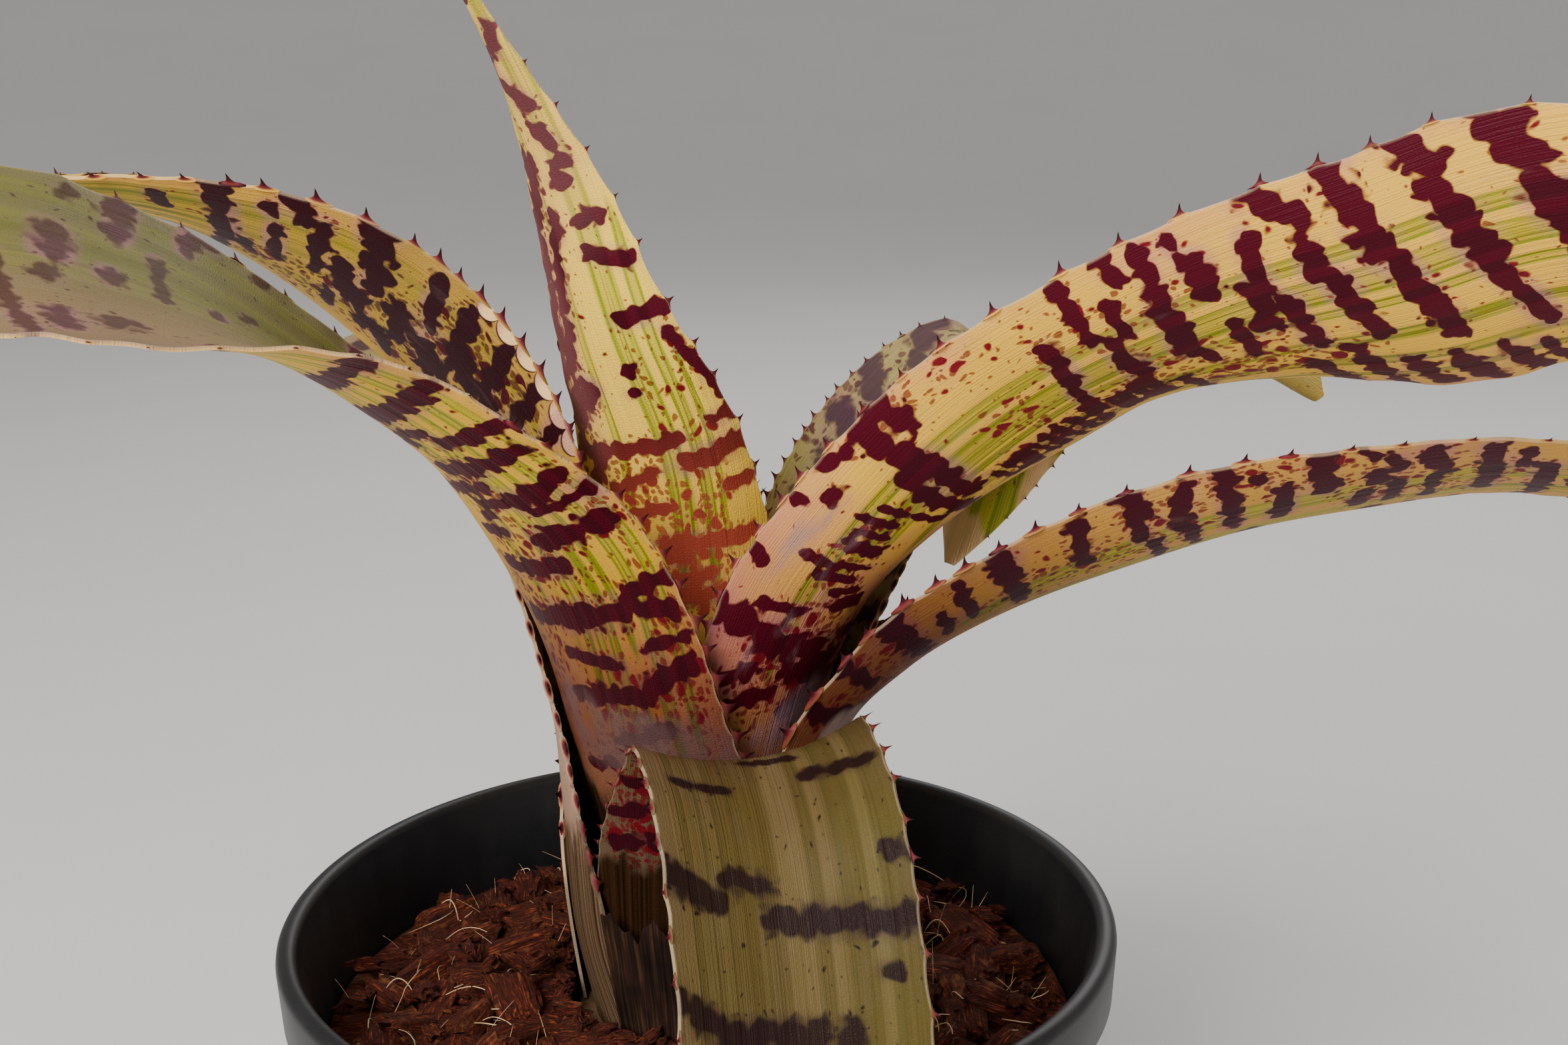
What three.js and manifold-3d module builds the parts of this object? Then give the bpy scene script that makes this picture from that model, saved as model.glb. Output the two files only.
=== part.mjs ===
// A neoregelia hybrid, a tank bromeliad, in a round black nursery pot.
// Millimetres, +Z up. The origin is the centre of the pot's flat base, and -Y is the front.
import * as THREE from "three";
import { mergeVertices } from "three/addons/utils/BufferGeometryUtils.js";
import Module from "manifold-3d";

// Driving dimensions of the pot.
const POT_HEIGHT = 125;
const RIM_RADIUS = 76;
const BASE_RADIUS = 52;
const WALL = 2;
const RIM_LIP = 4;
const RIM_DROP = 12;
const DRAIN_HOLES = 8;
const DRAIN_RADIUS = 5;
const POT_SIDES = 48;

// The coir mix, its chips and the hole that the plant stands in.
const FIT = 0.35;
const MIX_EDGE = 106;
const MIX_MIDDLE = 109;
const CHIP_COUNT = 84;
const CHIP_SEED = 7;

// The rosette: where its axis stands, and where its leaves begin.
const AXIS_X = 2.5;
const AXIS_Y = 5;
const FOOT = 104;
const CROWN_RADIUS = 25.5;
const HOLE_RADIUS = 27.5;

// The dry sheath: from where to where it goes round, in degrees, and its size.
const DRY_FROM = -132;
const DRY_TO = -25;
const DRY_TOP = 136;
const DRY_FOOT_RADIUS = 23.4;
const DRY_FLARE = 5;
const DRY_THICKNESS = 0.8;
const DRY_STEPS = 14;

// Every leaf is a channelled strap with a broad clasping sheath.
const SHEATH_THICKNESS = 0.8;
const BLADE_THICKNESS = 1.0;
const EDGE_THICKNESS = 0.6;
const TIP_WIDTH = 2.4;
const BLEND = 45;
const INTERVALS = 20;
const ACROSS = [-1, -0.72, -0.44, -0.15, 0.15, 0.44, 0.72, 1];
const SPINE_LENGTH = 2.4;
const SPINE_BASE = 2.2;
const SPINE_LEAN = 0.4;

// One row for each leaf, from the heart outwards.
// colour: its ground colour, between the bars.
// turn: the way that it faces, in degrees from +X, seen from above.
// wrap: half of the angle that its sheath goes round the axis, in degrees, at the foot.
// throat: the length of the sheath. width: of the blade.
// taper: where along its length the blade starts to narrow. point: how evenly it then narrows.
// channel: half of the angle that the leaf curls through, in degrees, at five places from foot to tip.
// twist: the leaf's turn about its own midrib, in degrees, at the same places.
// path: the midrib, as distance out from the axis and height.
const LEAVES = [
  {
    name: "leaf_centre", colour: 0xd2ae70,
    turn: -135, wrap: 95, throat: 50, width: 49, taper: 0.3, point: 1.1,
    channel: [80, 73, 58, 42, 50], twist: [0, 12, 30, 13, -12],
    path: [[6.5, 104.4], [9, 135], [10, 172], [12, 206], [22, 233], [30, 257], [38, 274], [46, 288],
      [50, 294]],
  },
  {
    name: "leaf_back_left", colour: 0xa99a4e,
    turn: 170, wrap: 90, throat: 50, width: 48, taper: 0.6, point: 1.6,
    channel: [71, 55, 36, 24, 25], twist: [-6, 7, 43, 6, -6],
    path: [[8.3, 104.4], [11, 135], [17, 162], [28, 190], [40, 213], [57, 229], [78, 242], [101, 251],
      [126, 253], [153, 247], [180, 237]],
  },
  {
    name: "leaf_right_back", colour: 0xb9ab6b,
    turn: 6, wrap: 90, throat: 50, width: 34, taper: 0.5, point: 4,
    channel: [60, 60, 60, 50, 35], twist: [0, 0, 0, -10, -45],
    path: [[10.1, 104.4], [13, 135], [17, 158], [21.5, 180], [30, 198], [42, 212], [57, 221], [73, 226],
      [88, 227], [101, 223.5], [111, 215.5]],
  },
  {
    name: "leaf_right", colour: 0xd0b377,
    turn: -28, wrap: 90, throat: 44, width: 51, taper: 0.75, point: 1.6,
    channel: [76, 70, 41, 31, 27], twist: [4, -4, -27, -54, -66],
    path: [[11.9, 104.4], [15.3, 135], [19.5, 162], [28, 184], [41, 200], [57, 215], [76, 228], [97, 237],
      [120, 244], [143, 252], [170, 252], [199, 248]],
  },
  {
    name: "leaf_back_right", colour: 0x8f9a60,
    turn: 37, wrap: 90, throat: 52, width: 40, taper: 0.5, point: 3,
    channel: [65, 60, 51, 48, 30], twist: [0, 4, 10, -1, -12],
    path: [[13.7, 104.4], [17.2, 135], [22.5, 159], [31, 180], [43.5, 197.5], [57.5, 210.5], [70, 216], [73, 211],
      [66, 196], [57.5, 178.5]],
  },
  {
    name: "leaf_left", colour: 0xc9b36a,
    turn: -145, wrap: 85, throat: 64, width: 52, taper: 0.7, point: 1.6,
    channel: [75, 69, 41, 22, 23], twist: [8, 18, -2, -23, -8],
    path: [[15.5, 104.4], [19, 135], [25, 162], [32, 188], [46, 210], [63, 226], [81, 239], [98, 247],
      [117, 253], [137, 251], [157, 244], [177, 234]],
  },
  {
    name: "leaf_right_low", colour: 0xb08a68,
    turn: -5, wrap: 80, throat: 36, width: 42, taper: 0.65, point: 1.6,
    channel: [63, 52, 36, 14, 22], twist: [2, -12, -28, -27, -46],
    path: [[17.3, 104.4], [22.4, 135], [24.5, 158], [36, 171], [52, 181], [71, 190], [91, 197], [113, 202],
      [135, 206], [156, 205], [178, 202], [199, 196]],
  },
  {
    name: "leaf_left_old", colour: 0xb8a060,
    turn: 148, wrap: 85, throat: 59, width: 36, taper: 0.6, point: 2,
    channel: [51, 50, 46, 40, 35], twist: [0, 0, 0, 0, 0],
    path: [[22, 104.4], [25.5, 124], [26.6, 147], [28, 164], [33, 181], [43, 196], [55, 208], [67, 215],
      [77, 220], [85, 221], [91, 217]],
  },
  {
    name: "leaf_front", colour: 0x8c8850,
    turn: -79, wrap: 75, throat: 46, width: 39, taper: 0.8, point: 1.6,
    channel: [48, 43, 37, 28, 20], twist: [3, 5, -3, -2, 0],
    path: [[19.5, 104.4], [24.7, 135], [30.5, 151], [37, 163], [44, 169], [54, 168], [65, 163], [75, 151],
      [83, 134], [89, 112], [94, 87], [98, 61], [101, 34]],
  },
  {
    name: "leaf_back", colour: 0xa09a58,
    turn: 100, wrap: 80, throat: 50, width: 42, taper: 0.6, point: 1.6,
    channel: [50, 45, 40, 35, 30], twist: [0, 0, 0, 0, 0],
    path: [[24.4, 104.4], [28.4, 130], [31.5, 148], [38, 164], [49, 174], [66, 178], [85, 175], [104, 165],
      [120, 149], [131, 130]],
  },
];

const wasm = await Module();
wasm.setup();

// A closed geometry as a solid that can be joined and cut.
function solidOf(geometry) {
  const bare = geometry.clone();
  bare.deleteAttribute("normal");
  bare.deleteAttribute("uv");
  const merged = mergeVertices(bare, 1e-4);
  return new wasm.Manifold(
    new wasm.Mesh({
      numProp: 3,
      vertProperties: new Float32Array(merged.attributes.position.array),
      triVerts: new Uint32Array(merged.index.array),
    }),
  );
}

// The largest of a solid's bodies, without loose scraps or closed hollows.
function largest(solid) {
  return solid.decompose().reduce((best, next) => (next.volume() > best.volume() ? next : best));
}

// A joined or cut solid as a geometry.
function geometryOf(solid) {
  const mesh = solid.getMesh();
  const geometry = new THREE.BufferGeometry();
  geometry.setAttribute("position", new THREE.BufferAttribute(new Float32Array(mesh.vertProperties), 3));
  geometry.setIndex(new THREE.BufferAttribute(new Uint32Array(mesh.triVerts), 1));
  geometry.computeVertexNormals();
  return geometry;
}

// A profile of [radius, height] points, turned about the Z axis.
function turned(profile, sides = POT_SIDES) {
  const points = profile.map(([radius, height]) => new THREE.Vector2(radius, height));
  return new THREE.LatheGeometry(points, sides).rotateX(Math.PI / 2);
}

// Random numbers from 0 to 1 that are the same on every run.
function seeded(seed) {
  let state = seed >>> 0;
  return () => {
    state = (state + 0x6d2b79f5) >>> 0;
    let t = Math.imul(state ^ (state >>> 15), 1 | state);
    t = (t + Math.imul(t ^ (t >>> 7), 61 | t)) ^ t;
    return ((t ^ (t >>> 14)) >>> 0) / 4294967296;
  };
}

function named(name, geometry, material) {
  const mesh = new THREE.Mesh(geometry, material);
  mesh.name = name;
  return mesh;
}

// Radius of the pot's inner wall at a height.
function innerRadius(height) {
  return THREE.MathUtils.mapLinear(height, 0, POT_HEIGHT, BASE_RADIUS - WALL, RIM_RADIUS - RIM_LIP);
}

// The pot: a tapered moulding with a rolled rim, a flat base and a ring of drain holes.
function pot() {
  const shell = turned([
    [0, 0],
    [BASE_RADIUS - 1.5, 0],
    [BASE_RADIUS, 1.5],
    [innerRadius(POT_HEIGHT - RIM_DROP) + WALL, POT_HEIGHT - RIM_DROP - 1],
    [RIM_RADIUS - 0.6, POT_HEIGHT - RIM_DROP],
    [RIM_RADIUS, POT_HEIGHT - 2],
    [RIM_RADIUS - 0.8, POT_HEIGHT - 0.4],
    [RIM_RADIUS - 2, POT_HEIGHT],
    [RIM_RADIUS - RIM_LIP + 0.6, POT_HEIGHT - 0.4],
    [innerRadius(POT_HEIGHT - 2), POT_HEIGHT - 2],
    [innerRadius(WALL + 2), WALL + 2],
    [innerRadius(WALL) - 2, WALL],
    [0, WALL],
  ]);
  let body = solidOf(shell);
  const ring = BASE_RADIUS * 0.68;
  for (let i = 0; i < DRAIN_HOLES; i++) {
    const angle = (i * 2 * Math.PI) / DRAIN_HOLES;
    const hole = new THREE.CylinderGeometry(DRAIN_RADIUS, DRAIN_RADIUS, 4 * WALL, 12).rotateX(Math.PI / 2);
    hole.translate(ring * Math.cos(angle), ring * Math.sin(angle), WALL / 2);
    body = body.subtract(solidOf(hole));
  }
  return geometryOf(body);
}

// One coir chip: a block whose corners are pulled about, so that no two are alike.
function chip(random) {
  const size = [8 + 9 * random(), 5 + 5 * random(), 4 + 3.5 * random()];
  const corners = [];
  for (let i = 0; i < 8; i++) {
    const corner = size.map((side, axis) => side * ((i >> axis) & 1 ? 0.5 : -0.5) * (0.7 + 0.5 * random()));
    corners.push(corner);
  }
  const tilt = new THREE.Euler(0.9 * (random() - 0.5), 0.9 * (random() - 0.5), 2 * Math.PI * random());
  const matrix = new THREE.Matrix4().makeRotationFromEuler(tilt);
  const turned = corners.map((corner) => new THREE.Vector3(...corner).applyMatrix4(matrix).toArray());
  return wasm.Manifold.hull(turned);
}

// The coir mix: one body that fills the pot, with chips standing out of its top and a hole for the plant.
function mix() {
  const random = seeded(CHIP_SEED);
  const rim = innerRadius(MIX_EDGE) - FIT;
  let body = solidOf(
    turned([
      [0, WALL + FIT],
      [innerRadius(WALL) - 2 - FIT, WALL + FIT],
      [innerRadius(WALL + 2) - FIT, WALL + 2 + FIT],
      [rim, MIX_EDGE],
      [HOLE_RADIUS, MIX_MIDDLE],
      [0, MIX_MIDDLE],
    ]),
  );
  const chips = [];
  const inner = HOLE_RADIUS + 5;
  const outer = rim - 8;
  for (let i = 0; i < CHIP_COUNT; i++) {
    const share = (i + 0.5) / CHIP_COUNT;
    const radius = Math.sqrt(inner ** 2 + (outer ** 2 - inner ** 2) * share);
    const angle = i * Math.PI * (3 - Math.sqrt(5));
    const ground = THREE.MathUtils.mapLinear(radius, HOLE_RADIUS, rim, MIX_MIDDLE, MIX_EDGE);
    const height = ground + 1.8 * random() - 0.2;
    chips.push(chip(random).translate([radius * Math.cos(angle), radius * Math.sin(angle), height]));
  }
  body = wasm.Manifold.union([body, ...chips]);
  const hole = new THREE.CylinderGeometry(HOLE_RADIUS, HOLE_RADIUS, 60, 32).rotateX(Math.PI / 2);
  hole.translate(AXIS_X, AXIS_Y, FOOT - 16 + 30);
  return geometryOf(largest(body.subtract(solidOf(hole))));
}

// The crown: the short thick stem that the sheaths grow from, with its growing point in the middle.
function crown() {
  const profile = [
    [0, FOOT - 16 + FIT],
    [CROWN_RADIUS - 8, FOOT - 16 + FIT],
    [CROWN_RADIUS, FOOT - 8],
    [CROWN_RADIUS, FOOT],
    [4, FOOT],
    [3.6, FOOT + 12],
    [2, FOOT + 22],
    [0, FOOT + 25],
  ];
  return turned(profile, 24).translate(AXIS_X, AXIS_Y, 0);
}

// The dry sheath: what is left of an old leaf, a brown papery strip round the foot with a torn top.
function drySheath() {
  const position = [];
  const index = [];
  const quad = (a, b, c, d) => index.push(a, b, c, a, c, d);
  for (let i = 0; i <= DRY_STEPS; i++) {
    const angle = THREE.MathUtils.degToRad(THREE.MathUtils.lerp(DRY_FROM, DRY_TO, i / DRY_STEPS));
    const torn = DRY_TOP - 7 * Math.abs(Math.sin(i * 1.9)) - 3 * Math.cos(i * 3.1);
    for (let j = 0; j <= 3; j++) {
      const height = THREE.MathUtils.lerp(FOOT + 0.4, torn, j / 3);
      const radius = DRY_FOOT_RADIUS + (DRY_FLARE * (height - FOOT)) / (DRY_TOP - FOOT);
      for (const face of [0, DRY_THICKNESS]) {
        const out = radius + face;
        position.push(AXIS_X + out * Math.cos(angle), AXIS_Y + out * Math.sin(angle), height);
      }
    }
  }
  const at = (i, j, face) => (i * 4 + j) * 2 + face;
  for (let i = 0; i < DRY_STEPS; i++) {
    for (let j = 0; j < 3; j++) {
      quad(at(i, j, 1), at(i + 1, j, 1), at(i + 1, j + 1, 1), at(i, j + 1, 1));
      quad(at(i, j, 0), at(i, j + 1, 0), at(i + 1, j + 1, 0), at(i + 1, j, 0));
    }
    quad(at(i, 0, 0), at(i + 1, 0, 0), at(i + 1, 0, 1), at(i, 0, 1));
    quad(at(i, 3, 0), at(i, 3, 1), at(i + 1, 3, 1), at(i + 1, 3, 0));
  }
  for (let j = 0; j < 3; j++) {
    quad(at(0, j, 0), at(0, j, 1), at(0, j + 1, 1), at(0, j + 1, 0));
    quad(at(DRY_STEPS, j, 0), at(DRY_STEPS, j + 1, 0), at(DRY_STEPS, j + 1, 1), at(DRY_STEPS, j, 1));
  }
  const geometry = new THREE.BufferGeometry();
  geometry.setAttribute("position", new THREE.BufferAttribute(new Float32Array(position), 3));
  geometry.setIndex(index);
  geometry.computeVertexNormals();
  return geometry;
}

// A value that runs smoothly through evenly spaced places along the leaf.
function valueAt(places, along) {
  const k = THREE.MathUtils.clamp(along, 0, 1) * (places.length - 1);
  const i = Math.min(Math.floor(k), places.length - 2);
  return THREE.MathUtils.lerp(places[i], places[i + 1], THREE.MathUtils.smoothstep(k - i, 0, 1));
}

// A leaf's midsurface as a function: across runs from -1 to 1 and along from 0 at the foot to 1 at the tip.
function leafSurface(leaf) {
  const { degToRad, lerp, smoothstep } = THREE.MathUtils;
  const knots = leaf.path.map(([out, height]) => new THREE.Vector3(out, 0, height));
  const midrib = new THREE.CatmullRomCurve3(knots, false, "catmullrom", 0.5);
  midrib.arcLengthDivisions = 400;
  const length = midrib.getLength();
  const throat = leaf.throat / length;
  const widthAt = (along, out) => {
    const narrowed = Math.max(0, (along - leaf.taper) / (1 - leaf.taper)) ** leaf.point;
    const blade = leaf.width * (1 - narrowed) + TIP_WIDTH;
    return lerp(2 * degToRad(leaf.wrap) * out, blade, smoothstep(along, 0, throat * 1.5));
  };
  const point = (across, along) => {
    const at = midrib.getPointAt(along);
    const width = widthAt(along, at.x);
    // In the tank, a strip of a funnel round the plant's axis.
    const round = (across * width) / (2 * at.x);
    const funnel = new THREE.Vector3(at.x * Math.cos(round), at.x * Math.sin(round), at.z);
    // Past the throat, an arched channel square to the midrib.
    const tangent = midrib.getTangentAt(along);
    const side = new THREE.Vector3(0, 1, 0);
    const inward = new THREE.Vector3().crossVectors(tangent, side);
    const twist = degToRad(valueAt(leaf.twist, along));
    side.applyAxisAngle(tangent, twist);
    inward.applyAxisAngle(tangent, twist);
    const curl = degToRad(valueAt(leaf.channel, along));
    const radius = width / (2 * curl);
    const channel = at
      .clone()
      .addScaledVector(side, radius * Math.sin(curl * across))
      .addScaledVector(inward, radius * (1 - Math.cos(curl * across)));
    const placed = funnel.lerp(channel, smoothstep(along, throat, throat + BLEND / length));
    placed.applyAxisAngle(new THREE.Vector3(0, 0, 1), degToRad(leaf.turn));
    return placed.add(new THREE.Vector3(AXIS_X, AXIS_Y, 0));
  };
  return { point, length };
}

// A point on the midsurface, with its normal on the upper side and the ways across and along.
function frameAt(surface, across, along) {
  const step = 1e-3;
  const before = surface.point(across, Math.max(0, along - step));
  const after = surface.point(across, Math.min(1, along + step));
  const left = surface.point(Math.max(-1, across - 0.02), along);
  const right = surface.point(Math.min(1, across + 0.02), along);
  const forward = after.sub(before).normalize();
  const sideways = right.sub(left).normalize();
  const normal = new THREE.Vector3().crossVectors(forward, sideways).normalize();
  return { at: surface.point(across, along), forward, sideways, normal };
}

// A leaf as one closed solid: two faces, and margins that carry a spine in each interval.
function leafSolid(leaf) {
  const surface = leafSurface(leaf);
  const position = [];
  const index = [];
  const add = (v) => position.push(v.x, v.y, v.z) / 3 - 1;
  const pair = (across, along) => {
    const frame = frameAt(surface, across, along);
    const body = THREE.MathUtils.lerp(SHEATH_THICKNESS, BLADE_THICKNESS, Math.min(1, along * 3));
    const thickness = THREE.MathUtils.lerp(body, EDGE_THICKNESS, Math.abs(across) ** 3);
    const top = frame.at.clone().addScaledVector(frame.normal, thickness / 2);
    const under = frame.at.clone().addScaledVector(frame.normal, -thickness / 2);
    return { ...frame, top: add(top), under: add(under) };
  };
  const face = (a, b, c) => index.push(a, c, b);
  const quad = (a, b, c, d) => {
    face(a, b, c);
    face(a, c, d);
  };
  const rows = [];
  for (let i = 0; i <= INTERVALS; i++) {
    rows.push(ACROSS.map((across) => pair(across, i / INTERVALS)));
  }
  const last = ACROSS.length - 1;
  for (let i = 0; i < INTERVALS; i++) {
    const near = rows[i];
    const far = rows[i + 1];
    for (let j = 1; j < last - 1; j++) {
      quad(near[j].top, near[j + 1].top, far[j + 1].top, far[j].top);
      quad(near[j].under, far[j].under, far[j + 1].under, near[j + 1].under);
    }
    for (const [edge, inner, sign] of [[0, 1, -1], [last, last - 1, 1]]) {
      margin(near[edge], far[edge], near[inner], far[inner], sign, (i + 0.5) / INTERVALS);
    }
  }
  // The strip between the last inner column and the margin, with its spine.
  function margin(nearEdge, farEdge, nearInner, farInner, sign, middle) {
    const flip = (a, b, c) => (sign > 0 ? face(a, b, c) : face(a, c, b));
    const half = SPINE_BASE / 2 / surface.length;
    const start = pair(sign, middle - half);
    const end = pair(sign, middle + half);
    const centre = frameAt(surface, sign, middle);
    const size = SPINE_LENGTH * (middle > 0.9 ? 0.6 : 1);
    const tip = centre.at.clone().addScaledVector(centre.sideways, sign * size);
    tip.addScaledVector(centre.forward, SPINE_LEAN * size);
    const apex = add(tip);
    for (const [side, turn] of [["top", 1], ["under", -1]]) {
      const tri = (a, b, c) => (turn > 0 ? flip(a, b, c) : flip(a, c, b));
      tri(nearInner[side], nearEdge[side], start[side]);
      tri(nearInner[side], start[side], farInner[side]);
      tri(farInner[side], start[side], end[side]);
      tri(farInner[side], end[side], farEdge[side]);
      tri(start[side], apex, end[side]);
    }
    const strip = (a, b) => {
      flip(a.top, a.under, b.under);
      flip(a.top, b.under, b.top);
    };
    strip(nearEdge, start);
    flip(start.top, start.under, apex);
    flip(apex, end.under, end.top);
    strip(end, farEdge);
  }
  // The foot and the tip are closed by strips from margin to margin.
  for (let j = 0; j < last; j++) {
    const foot = rows[0];
    const tip = rows[INTERVALS];
    quad(foot[j].top, foot[j].under, foot[j + 1].under, foot[j + 1].top);
    quad(tip[j].top, tip[j + 1].top, tip[j + 1].under, tip[j].under);
  }
  const geometry = new THREE.BufferGeometry();
  geometry.setAttribute("position", new THREE.BufferAttribute(new Float32Array(position), 3));
  geometry.setIndex(index);
  geometry.computeVertexNormals();
  return geometry;
}

const black = new THREE.MeshStandardMaterial({ color: 0x1b1b1c, roughness: 0.55 });
const coir = new THREE.MeshStandardMaterial({ color: 0x7a3a1e, roughness: 0.95 });
const brown = new THREE.MeshStandardMaterial({ color: 0x4a3424, roughness: 0.9 });
const dry = new THREE.MeshStandardMaterial({ color: 0x4b3325, roughness: 0.9 });

const root = new THREE.Group();
root.add(named("pot", pot(), black));
root.add(named("coir_mix", mix(), coir));
root.add(named("crown", crown(), brown));
root.add(named("dry_sheath", drySheath(), dry));
for (const leaf of LEAVES) {
  const skin = new THREE.MeshStandardMaterial({ color: leaf.colour, roughness: 0.5 });
  root.add(named(leaf.name, leafSolid(leaf), skin));
}

export default root;
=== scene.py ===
import math

import bpy
import numpy as np
from mathutils import Matrix, Vector


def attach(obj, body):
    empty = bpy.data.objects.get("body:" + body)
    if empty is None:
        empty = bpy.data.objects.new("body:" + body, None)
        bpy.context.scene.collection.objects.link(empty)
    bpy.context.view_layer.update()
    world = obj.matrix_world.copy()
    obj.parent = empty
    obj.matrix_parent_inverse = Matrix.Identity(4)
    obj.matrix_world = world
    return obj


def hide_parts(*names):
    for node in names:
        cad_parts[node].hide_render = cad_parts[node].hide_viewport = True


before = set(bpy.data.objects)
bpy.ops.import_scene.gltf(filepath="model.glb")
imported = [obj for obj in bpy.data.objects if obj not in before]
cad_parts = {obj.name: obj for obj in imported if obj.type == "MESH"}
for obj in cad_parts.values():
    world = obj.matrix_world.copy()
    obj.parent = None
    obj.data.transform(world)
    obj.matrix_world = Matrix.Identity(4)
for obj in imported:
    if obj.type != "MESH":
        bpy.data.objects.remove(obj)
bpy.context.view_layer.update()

MM = 0.001

# Camera
# Stands where the picture was taken: a step in front of the pot, a little above the leaves, looking down
# on the tank. A 50 mm lens on a 36 mm sensor.
CAMERA_PLACE = Vector((16.6, -366.0, 300.3)) * MM
CAMERA_PITCH = math.radians(15.58)
CAMERA_ROLL = math.radians(-0.75)

camera_data = bpy.data.cameras.new("camera")
camera_data.lens = 50
camera_data.sensor_width = 36
camera = bpy.data.objects.new("camera", camera_data)
bpy.context.collection.objects.link(camera)
camera.matrix_world = (
    Matrix.Translation(CAMERA_PLACE)
    @ Matrix.Rotation(math.pi / 2 - CAMERA_PITCH, 4, "X")
    @ Matrix.Rotation(CAMERA_ROLL, 4, "Z")
)
bpy.context.scene.camera = camera

# Studio
# A plain pale sheet of paper that curves up far away on every side, so that no horizon shows, and large
# soft lamps: the main one high on the left in front, a weak one on the right and one behind.
FLOOR_FLAT = 1500
FLOOR_RADIUS = 3200
FLOOR_CURVE = 1300
FLOOR_WALL = 500
FLOOR_STEPS = 24


def hex_colour(code):
    """An sRGB hex colour as the linear colour that the shaders take."""
    steps = [int(code[i : i + 2], 16) / 255 for i in (1, 3, 5)]
    linear = [c / 12.92 if c <= 0.04045 else ((c + 0.055) / 1.055) ** 2.4 for c in steps]
    return (*linear, 1.0)


def put(tree, kind, settings=None, inputs=None):
    """Adds a node with its settings and inputs.

    An input takes a number, a colour, a socket, or a node, which stands for its first output in use.
    """
    made = tree.nodes.new("ShaderNode" + kind)
    for name, value in (settings or {}).items():
        setattr(made, name, value)
    for key, value in (inputs or {}).items():
        if isinstance(value, bpy.types.Node):
            value = next(socket for socket in value.outputs if socket.enabled)
        if isinstance(value, bpy.types.NodeSocket):
            tree.links.new(value, made.inputs[key])
        else:
            made.inputs[key].default_value = value
    return made


def new_material(name):
    """An empty material with its output, and the tree to build in."""
    made = bpy.data.materials.new(name)
    made.use_nodes = True
    made.node_tree.nodes.clear()
    return made, made.node_tree


def finish_material(tree, surface):
    put(tree, "OutputMaterial", None, {"Surface": surface})


def deselect():
    for other in bpy.context.selected_objects:
        other.select_set(False)


def pick(piece):
    """Makes a piece the only selected and active one."""
    deselect()
    piece.select_set(True)
    bpy.context.view_layer.objects.active = piece


def spun(name, profile, steps):
    """A closed solid, spun about the Z axis from a profile of (radius, height) in millimetres."""
    mesh = bpy.data.meshes.new(name)
    rows = [(radius * MM, 0, height * MM) for radius, height in profile]
    mesh.from_pydata(rows, [(i, i + 1) for i in range(len(rows) - 1)], [])
    made = bpy.data.objects.new(name, mesh)
    bpy.context.collection.objects.link(made)
    pick(made)
    bpy.ops.object.mode_set(mode="EDIT")
    bpy.ops.mesh.select_all(action="SELECT")
    bpy.ops.mesh.spin(steps=steps, angle=2 * math.pi, center=(0, 0, 0), axis=(0, 0, 1))
    bpy.ops.mesh.select_all(action="SELECT")
    bpy.ops.mesh.remove_doubles(threshold=1e-6)
    bpy.ops.mesh.normals_make_consistent(inside=False)
    bpy.ops.object.mode_set(mode="OBJECT")
    return made


floor_profile = [(0, 0), (FLOOR_FLAT, 0)]
for step in range(1, FLOOR_STEPS + 1):
    turn = math.radians(90 * step / FLOOR_STEPS)
    out = FLOOR_FLAT + (FLOOR_RADIUS - FLOOR_FLAT) * math.sin(turn)
    floor_profile.append((out, FLOOR_CURVE * (1 - math.cos(turn))))
floor_profile.append((FLOOR_RADIUS, FLOOR_CURVE + FLOOR_WALL))
floor = spun("floor", floor_profile, 96)
bpy.ops.object.shade_smooth()
paper, tree = new_material("matt studio paper")
grain = put(tree, "TexNoise", None, {"Scale": 60.0, "Detail": 2.0})
tone = put(tree, "Mix", {"data_type": "RGBA"},
           {0: grain, 6: hex_colour("#cfcdc9"), 7: hex_colour("#d5d3cf")})
finish_material(tree, put(tree, "BsdfPrincipled", None, {"Base Color": tone, "Roughness": 0.9}))
floor.data.materials.append(paper)

LAMPS = [
    ("lamp_main", (-0.5, -0.95, 0.95), 0.7, 33.0),
    ("lamp_fill", (1.1, -0.7, 0.7), 1.0, 4.0),
    ("lamp_back", (0.35, 0.95, 0.95), 0.8, 6.0),
]
for name, place, size, power in LAMPS:
    lamp_data = bpy.data.lights.new(name, "AREA")
    lamp_data.size = size
    lamp_data.energy = power
    lamp = bpy.data.objects.new(name, lamp_data)
    bpy.context.collection.objects.link(lamp)
    lamp.location = place
    towards = Vector((0, 0, 0.18)) - lamp.location
    lamp.rotation_euler = towards.to_track_quat("-Z", "Y").to_euler()

world = bpy.data.worlds.new("studio")
bpy.context.scene.world = world
world.use_nodes = True
world.node_tree.nodes["Background"].inputs["Color"].default_value = hex_colour("#e6e6e8")
world.node_tree.nodes["Background"].inputs["Strength"].default_value = 0.46

# Pot
# A round black nursery pot of injection-moulded polypropylene, with a rolled rim over a short skirt,
# faint draw ribs on its inner wall and a ring of drain holes in its flat base.
POT_HEIGHT = 125
RIM_RADIUS = 76
BASE_RADIUS = 52
WALL = 2
RIM_LIP = 4
RIM_DROP = 12
DRAIN_HOLES = 8
DRAIN_RADIUS = 5
DRAIN_RING = 0.68 * BASE_RADIUS
POT_STEPS = 288
POT_RIBS = 48
RIB_HEIGHT = 0.25


def inner_radius(height):
    """Radius of the pot's inner wall, in millimetres."""
    low, high = BASE_RADIUS - WALL, RIM_RADIUS - RIM_LIP
    return low + (high - low) * height / POT_HEIGHT


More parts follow.
